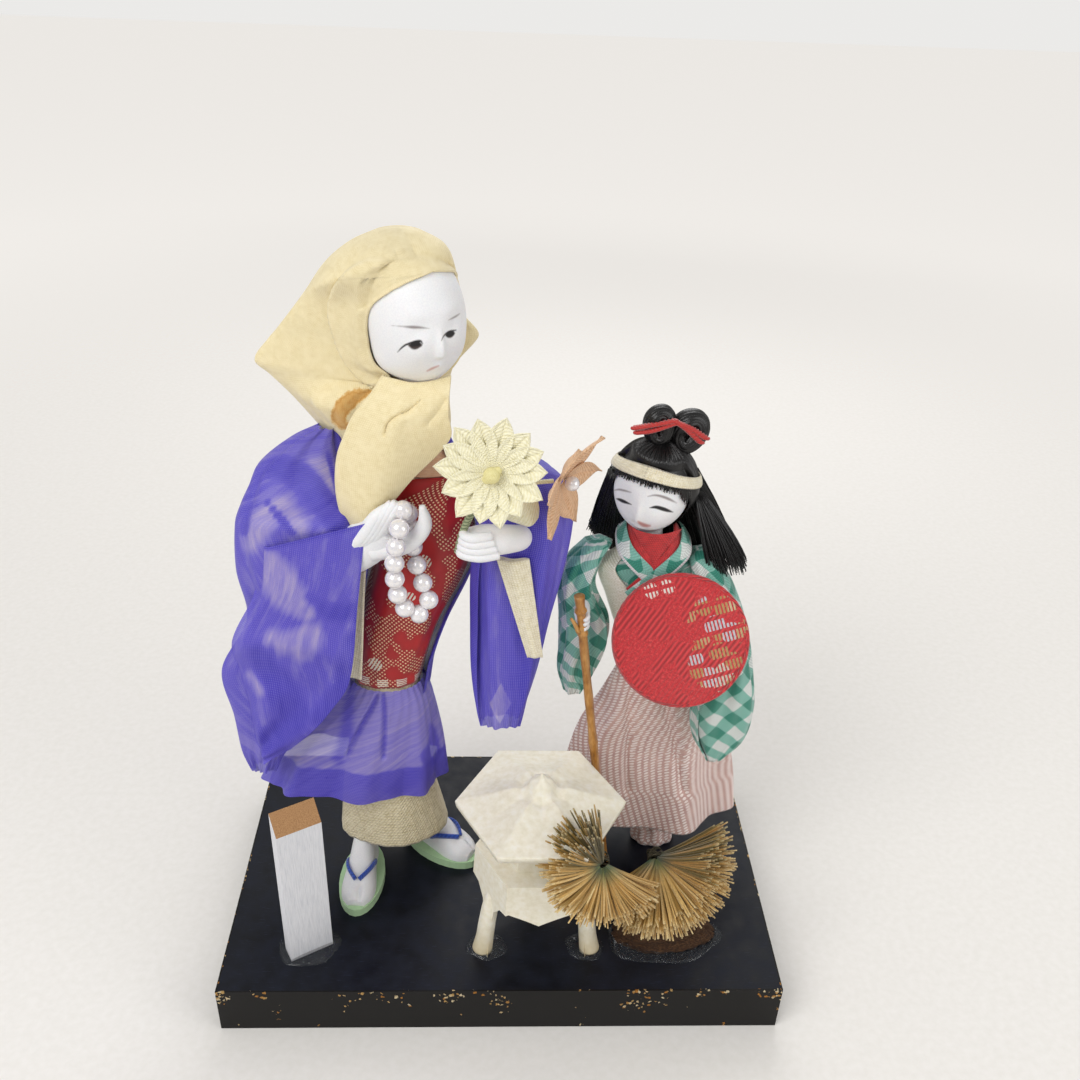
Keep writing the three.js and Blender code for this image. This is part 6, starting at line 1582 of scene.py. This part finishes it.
# %% check, metallic and net cloths
def check_cloth(name, white_edge=False):
    """Gingham on the bias: two square waves 45 degrees to the cloth; their sum picks the tone."""
    material = finish(name, Roughness=0.55, Sheen_Weight=0.35)
    squares = axes(place((1 / 6.4, 1 / 6.4, 1), 0.7, cloth=True))
    first, second = (calc("GREATER_THAN", calc("FRACT", squares[axis]), 0.5) for axis in "XY")
    half = calc("MULTIPLY", calc("ADD", first, second), 0.5)
    tint = ramp(half, [(0.1, "eaf0ec"), (0.5, "86c6b6"), (0.9, "25907a")])
    if white_edge:
        tint = blend(calc("LESS_THAN", axes(place(cloth=True))["X"], 0.6), tint, "ece9ea")
    height = weave(0.45, 0.7)
    link(blend(1.0, tint, ramp(height, [(0.0, "d2d2d2"), (0.6, "ffffff")]), "MULTIPLY"))
    bump(height, 0.12, 0.6)
    return material


check = check_cloth("teal_gingham_silk")
check_edged = check_cloth("teal_gingham_white_edge", white_edge=True)
silver_cloth = finish("silver_metallic_weave", Roughness=0.35, Sheen_Weight=0.2)
dashes = add("TexBrick", {"Vector": place(cloth=True), "Color1": linear("fffaf0"), "Color2": linear("f2ebda"),
                          "Mortar": linear("dcd4be"), "Scale": 1.0, "Mortar Size": 0.12, "Mortar Smooth": 0.6,
                          "Brick Width": 1.5, "Row Height": 0.62}).outputs
link(dashes["Color"])
bump(calc("SUBTRACT", 1.0, dashes["Fac"]), 0.2, 0.8)
net = finish("pink_net_over_lining", Roughness=0.6, Sheen_Weight=0.3)
knot = ramp(cells(1 / 1.2, 0.0, 0.78)["Distance"], [(0.3, "ffffff"), (0.38, "000000")])
link(blend(knot, ramp(noise(11, 3.0), [(0.3, "c49c94"), (0.7, "d8b4aa")]), "faece8"))
bump(add("RGBToBW", {"Color": knot}).outputs[0], 0.22, 0.8)
print("Cloths:", check.name, silver_cloth.name, net.name)

# %% [markdown]
# The body is a padded form like the woman's. The kimono goes all round it, and the vest
# over it gapes from the chest up, where the collars cross.

# %% child's body, kimono and vest
CHILD_TORSO = [[60, -10.6, 6.8, -5.2, 6.2], [70, -12.4, 5.2, -5.4, 5.6], [80, -15.4, 4.4, -5.4, 5.2],
               [88, -17.6, 6, -5, 5.2], [91, -14, 2.4, -4, 4.4], [93.5, -11, -1.6, -3.2, 4]]
CHILD_SKIRT = [[12.6, -22.4, 20.2, -7.6, 13], [28, -20.6, 18.4, -6.8, 10.4], [40, -18.4, 15.4, -6, 8.4],
               [50, -14.4, 11, -5.8, 7], [59.7, -11, 7.2, -5.6, 6.6]]
v, u = grid_of(60, 48, around=True)
z = 19 + 74 * v
CHILD_HIP = [[19, -3, 7, -1, 6.6], [30, -6, 8, -2, 6.6], [50, -9, 6.4, -4, 5.6], [59, -9.4, 5.8, -4.2, 5.2],
             [62, -9.6, 5.6, -4.2, 5.0], [70, -11, 4, -4.4, 4.6], [80, -14, 3, -4.4, 4.2],
             [87, -14.6, 3.4, -4, 4.2], [91, -12, 0.6, -3.2, 3.6], [93, -10, -2.6, -2.4, 3.2]]
child_form = oval(CHILD_HIP, z, TAU * u, out=0.1 * np.sin(9 * TAU * u + z), power=2.2)
made = piece("child_wadding_body", [surface(capped(child_form + CHILD_AT), around=True)], wadding,
             ["child_padded_body"])
v, u = grid_of(60, 120, around=True)
z = 60.2 + 33.2 * v
robe = oval(CHILD_TORSO, z, TAU * u, out=-0.35 + 0.15 * np.sin(5 * TAU * u + z / 4), power=2.2)
fold_sheet("child_check_kimono", robe + CHILD_AT, check, ["child_kimono"],
           thick=0.4, around=True)
v, u = grid_of(60, 140)
z = 60.2 + 31.6 * v
gape = 1.05 * np.clip((z - 78) / 14, 0, 1)
angle = -math.pi / 2 + gape + (TAU - 2 * gape) * u
vest = oval(CHILD_TORSO, z, angle, out=0.3 + 0.12 * np.sin(7 * angle + z / 5), power=2.2)
fold_sheet("child_silver_vest", vest + CHILD_AT, silver_cloth, ["child_vest"],
           thick=0.35)

# %% [markdown]
# A collar is a flat strap bent round the neck. Two red bands lie under two of check, and a
# red filling closes the gap between them.


# %% collars
def strap(path, wide, outward, thick=0.5):
    """A flat band along a path: its width lies across the path, square to an outward direction."""
    line, out = resample(path, 60), resample(outward, 60)
    way = np.gradient(line, axis=0)
    across = unit(np.cross(way, out))
    out = unit(np.cross(across, way))
    w = np.linspace(-0.5, 0.5, 12)[None, :, None]
    front = line[:, None] + across[:, None] * (w * wide) + out[:, None] * (0.15 * (1 - 4 * w ** 2))
    grid = np.concatenate([front, (front - out[:, None] * thick)[:, ::-1]], 1)
    return surface(capped(grid, both=True), around=True)


RIGHT_OUT = np.array([(0.7, 0.3, 0.6), (0.8, -0.4, 0.5), (0.45, -1, 0.4), (0.1, -1, 0.2), (0, -1, 0.1)])


def wrapped_pair(spread, drop, forward, wide, thick):
    """Two collar straps round the neck: out from behind it, down its sides, and crossed at the front."""
    right = [(-1.6 + spread, 3.0, 97.6 - drop), (-1.0 + spread, -1.0, 97.2 - drop),
             (-2.0 + spread, -4.8 - forward, 95.0 - drop), (-5.4 + 0.5 * spread, -6.2 - forward, 90.6 - drop),
             (-11.2, -6.6 - forward, 84.2 - drop)]
    left = [(-12.8 - x, y + 0.25, z) for x, y, z in right]
    return [strap(left + CHILD_AT, -wide, RIGHT_OUT * [-1, 1, 1], thick),
            strap(right + CHILD_AT, wide, RIGHT_OUT, thick)]


v, u = grid_of(20, 30)
fill = np.stack([-6.4 + (4.8 * v + 0.6) * (2 * u - 1),
                 -4.4 - 1.0 * (1 - v) - 0.9 * np.cos(math.pi * (u - 0.5)),
                 91 + (7.6 + 1.0 * (2 * u - 1) ** 2) * v], -1)
red_parts = wrapped_pair(0.0, 0.0, 0.0, 2.8, 0.5) + [surface(fill + CHILD_AT)]
piece("child_red_collar", red_parts, red_cloth, ["child_inner_collar"])
piece("child_check_collar", wrapped_pair(1.9, 1.0, 0.45, 3.6, 0.35), check_edged)
print("Collars: two red bands under two of check")

# %% [markdown]
# The child's sleeves are small bags like the woman's, closed above over the shoulder.


# %% child's sleeves
def closed_top(grid, height):
    """Adds rows that draw a bag's upper ring in to its middle, over a rounded shoulder."""
    middle = grid[-1:].mean(1, keepdims=True)
    rows = [grid]
    for share in (0.3, 0.6, 0.85, 0.97):
        row = grid[-1:] + (middle - grid[-1:]) * share
        row[..., 2] += height * math.sin(share * math.pi / 2)
        rows.append(row)
    return np.concatenate(rows)


CHILD_SLEEVE_RIGHT = [[55.6, -24.4, -20.6, -6.6, -2.4], [62, -26, -17.4, -7.2, -1.4],
                      [70, -26, -15, -7.4, -0.8], [76, -26, -15.4, -7, -0.6], [84, -26.6, -19, -6, 0.4],
                      [90, -25.4, -17.4, -5, 1.4], [94, -21.6, -15.4, -4, 2]]
CHILD_SLEEVE_LEFT = [[42.6, 9, 13, -15, -11], [48, 6, 17.6, -15.6, -9], [56, 4.6, 19, -16.4, -8],
                     [66, 5, 17.6, -17, -5], [78, 4.4, 14.6, -13.4, -1.4], [86, 3, 11.4, -8.6, 1.6],
                     [91, 1.4, 8, -4.4, 3.2]]
for side, rows, phase, start in (("right", CHILD_SLEEVE_RIGHT, 0.3, -0.4),
                                 ("left", CHILD_SLEEVE_LEFT, 1.3, math.pi + 0.4)):
    v, u = grid_of(80, 150)
    low, high = rows[0][0], rows[-1][0]
    z, a = low + (high - low) * v, start + TAU * u
    fade = 0.3 + 0.7 * np.sin(math.pi * np.clip(v, 0.05, 0.95))
    out = (0.5 * np.cos(5 * a + phase + z / 18) + 0.25 * np.cos(11 * a - z / 6)) * fade
    grid = oval(rows, z, a, out=out - 0.2, power=2.2)
    mouth = smooth_step(0.06, 0.0, u) - smooth_step(0.94, 1.0, u)
    grid[..., 1] += 0.9 * mouth * smooth_step(0.7, 0.4, v)
    grid = closed_top(grid, 1.2)
    fold_sheet(f"child_check_sleeve_{side}", grid + CHILD_AT, check, [f"child_sleeve_{side}"],
               thick=0.35)

# %% [markdown]
# The net skirt falls in six deep folds from the waist. Net trousers, gathered at the foot,
# show under it.

# %% child's skirt and legs
v, u = grid_of(90, 320, around=True)
z, a = 12.6 + 47.1 * v, TAU * u
share = 1 - v
wave = 6 * a + 0.9 + 0.35 * np.sin(2 * a + 0.4)
folds = share ** 0.7 * (2.0 * np.cos(wave) + 0.35 * np.cos(2 * wave + 0.8)) + 0.15 * np.cos(19 * a) * v
net_skirt = oval(CHILD_SKIRT, z, a, out=folds - 0.2, power=2.1)
net_skirt[..., 2] += share * (0.5 * np.cos(wave) + 0.7 * np.sin(2 * a + 1))
spot = picture(net_skirt + CHILD_AT)
pinched = strokes(spot, (7, (629, 655, 1), (628.5, 700, 1.5), (627.5, 764, 2), (627, 790, 2)),
                  (7, (655, 665, 1), (660, 685, 1.5), (670, 727, 2), (683, 792, 2.5)))
net_skirt[..., 1] += 2.0 * pinched * smooth_step(0.0, 0.4, -np.sin(a))
fold_sheet("child_net_skirt", net_skirt + CHILD_AT, net, ["child_skirt"],
           thick=0.35, around=True)
v, u = grid_of(40, 80, around=True)
z, a = 0.15 + 18.6 * v, TAU * u
cuff = 0.5 * np.sin(8 * a + z / 3) * (0.4 + 0.6 * v) + 0.9 * np.exp(-((z - 1.5) / 2.5) ** 2) - 0.8
leg = np.stack([2 + (5.4 + cuff) * np.cos(a), 2.9 + (4.1 + cuff) * np.sin(a), z], -1)
fold_sheet("child_net_trousers", leg + CHILD_AT, net, ["child_legs"],
           thick=0.4, around=True)

# %% [markdown]
# ## The child's hand, stick and hat
# The stick is a thin cane with rings where leaves grew. The hat is a flat crown of card
# covered in red brocade: a twill of raised ribs, clouds where the ribs stop, and dashes
# of gold and silver thread on one side. The ribs alternate a dark and a light red as painted
# shade and highlight, and the fuzzy clouds carry pale pink painted highlights.

# %% hand and stick
palm = [(-21.4, -5.6, 80.9), (-21.7, -7.8, 79.8), (-22.0, -10.0, 78.8)]
hand = [sweep(palm, [1.5, 1.8, 1.2], sides=16, samples=20, at=CHILD_AT)]
for k in range(3):
    knuckle = [(-21.0, -8.8, 80.4 - 1.2 * k), (-20.6, -10.4, 80.3 - 1.2 * k), (-21.4, -11.7, 80.2 - 1.2 * k)]
    hand.append(sweep(knuckle, [0.5, 0.55, 0.4], sides=10, samples=16, at=CHILD_AT))
piece("child_right_hand", hand, clay, ["child_hand_right"])
cane = finish("varnished_thin_cane", Roughness=0.35, Coat_Weight=0.3)
fibres = noise((1600, 1600, 60), 4.0)
mixed = calc("MULTIPLY_ADD", fibres, 0.5, noise((120, 120, 60), 4.0))
link(ramp(mixed, [(0.45, "6e4216"), (0.7, "a8702c"), (0.95, "c99450")]))
bump(fibres, 0.1, 0.6)
foot, top = np.array([-11.5, -10.6, 0.1]), np.array([-22.8, -10.6, 86.0])
share = np.linspace(0, 1, 220)
bow = np.stack([0.35 * np.sin(5 * share), 0.2 * np.sin(7 * share), 0 * share], -1)
bow = bow * (share * (1 - share))[:, None]
radius = 1.0 + 0.05 * np.sin(40 * share)
for ring_at, ring_size in ((0.885, 0.32), (0.905, 0.28), (0.955, 0.42), (0.52, 0.12), (0.25, 0.12)):
    radius = radius + ring_size * np.exp(-((share - ring_at) / 0.006) ** 2)
radius = radius + 0.15 * smooth_step(0.97, 1.0, share)
stick = sweep(foot + (top - foot) * share[:, None] + bow, radius, sides=20, samples=220, at=CHILD_AT)
stub = sweep([(-22.6, -11.4, 77.0), (-23.6, -11.9, 79.6), (-24.4, -12.0, 81.0)], [0.55, 0.45, 0.3], sides=8,
             samples=16, at=CHILD_AT)
piece("child_cane_stick", [stick, stub], cane, ["child_stick"])
print("Stick length in mm:", round(float(np.linalg.norm(top - foot)), 1))

# %% [markdown]
# Four spots of the crown carry bars of thread: two wide ones in many tones, two small ones
# in silver. A spot is a distance from its middle, made ragged by the cloth's fuzz.

# %% hat cloth
hat_cloth = finish("red_ribbed_hat_brocade", Roughness=0.42, Sheen_Weight=0.35)
ribs = stripes(0.3, "X", 0.55, **{"Distortion": 1.2, "Detail": 2.0, "Detail Scale": 1.2})
ribbed = ramp(noise((0.15, 0.15, 1), 2.0, cloth=True), [(0.48, "000000"), (0.52, "ffffff")])
fuzz = noise((1.8, 1.8, 1), 6.0, 0.85, cloth=True)
# The fuzz's pale pink top colour is a painted highlight, and the ribs' light red is a painted highlight
# beside their painted shade.
fuzzy_red_and_highlight = ramp(fuzz, [(0.38, "a81219"), (0.55, "d8262f"), (0.68, "ee6a62")])
tint = blend(ribbed, fuzzy_red_and_highlight, blend(ribs, "a01219", "e2343a"))
bar = calc("GREATER_THAN", stripes(threads(0.8), "X", -0.35), 0.42)
dash = calc("MULTIPLY", bar, calc("GREATER_THAN", stripes(threads(3.1), "Y", -0.35), 0.2))
groups = cells(0.27)
tones = add("SeparateColor", {"Color": groups["Color"]}).outputs["Red"]
metallic = ramp(tones, [(0.3, "b9965a"), (0.6, "d8c8a0"), (0.9, "c9c9cf")])
grouped = calc("LESS_THAN", groups["Distance"], 0.62)
for centre, reach, colour in (((7.6, 4.8, 0), 6.4, None), ((8.6, -4.0, 0), 6.4, None),
                              ((-7.2, 10.4, 0), 1.6, "eee7dc"), ((-3.8, 11.6, 0), 1.5, "eee7dc")):
    gap = add("VectorMath", {0: place(cloth=True), 1: centre}, operation="DISTANCE").outputs["Value"]
    near = calc("LESS_THAN", calc("MULTIPLY_ADD", fuzz, -3.0, gap), reach - 1.5)
    shown = calc("MULTIPLY", near, dash)
    if colour is None:
        shown = calc("MULTIPLY", shown, grouped)
    tint = blend(shown, tint, colour or metallic)
link(tint)
bump(calc("ADD", ribs, fuzz), 0.3, 0.9)
print("Hat cloth:", hat_cloth.name)

# %% [markdown]
# The crown is a low dome with a rolled rim, turned to lie against the child's sleeve.

# %% hat
HAT_RADIUS, HAT_AT = 14.3, np.array([-0.5, -13.8, 77.0])


def circle_at(radius, a, height):
    """Points at an angle on a level circle."""
    return np.stack([radius * np.cos(a), radius * np.sin(a), height + 0 * a], -1)


v, u = grid_of(60, 180, around=True)
a = TAU * u
front = circle_at(HAT_RADIUS * v, a, 1.3 + 1.1 * (1 - v ** 2.4) + 0.12 * np.sin(3 * a) * v)
edge = circle_at(HAT_RADIUS + 0.35, a[:1], 0.7)
hat_grid = np.concatenate([front, edge, edge * [0.985, 0.985, 0] + [0, 0, 0.05],
                           edge * [0, 0, 0] + [0, 0, 0.25]])
hat_turn = (turn(2, -8) @ turn(0, 66)).T
hat_points = hat_grid @ hat_turn + HAT_AT + CHILD_AT
t = np.linspace(0, 1, 260)
binding = circle_at(HAT_RADIUS + 0.2, TAU * t, 1.15 + 0.1 * np.sin(60 * t))
binding = sweep(binding @ hat_turn, 0.42, sides=8, samples=300, at=HAT_AT + CHILD_AT)
dome = (hat_points, quads(len(hat_grid), 180, True), hat_grid[..., :2])
piece("child_brocade_hat", [dome, binding], hat_cloth, ["child_hat"])
print("Hat across in mm:", 2 * HAT_RADIUS)

# %% update the view layer
bpy.context.view_layer.update()
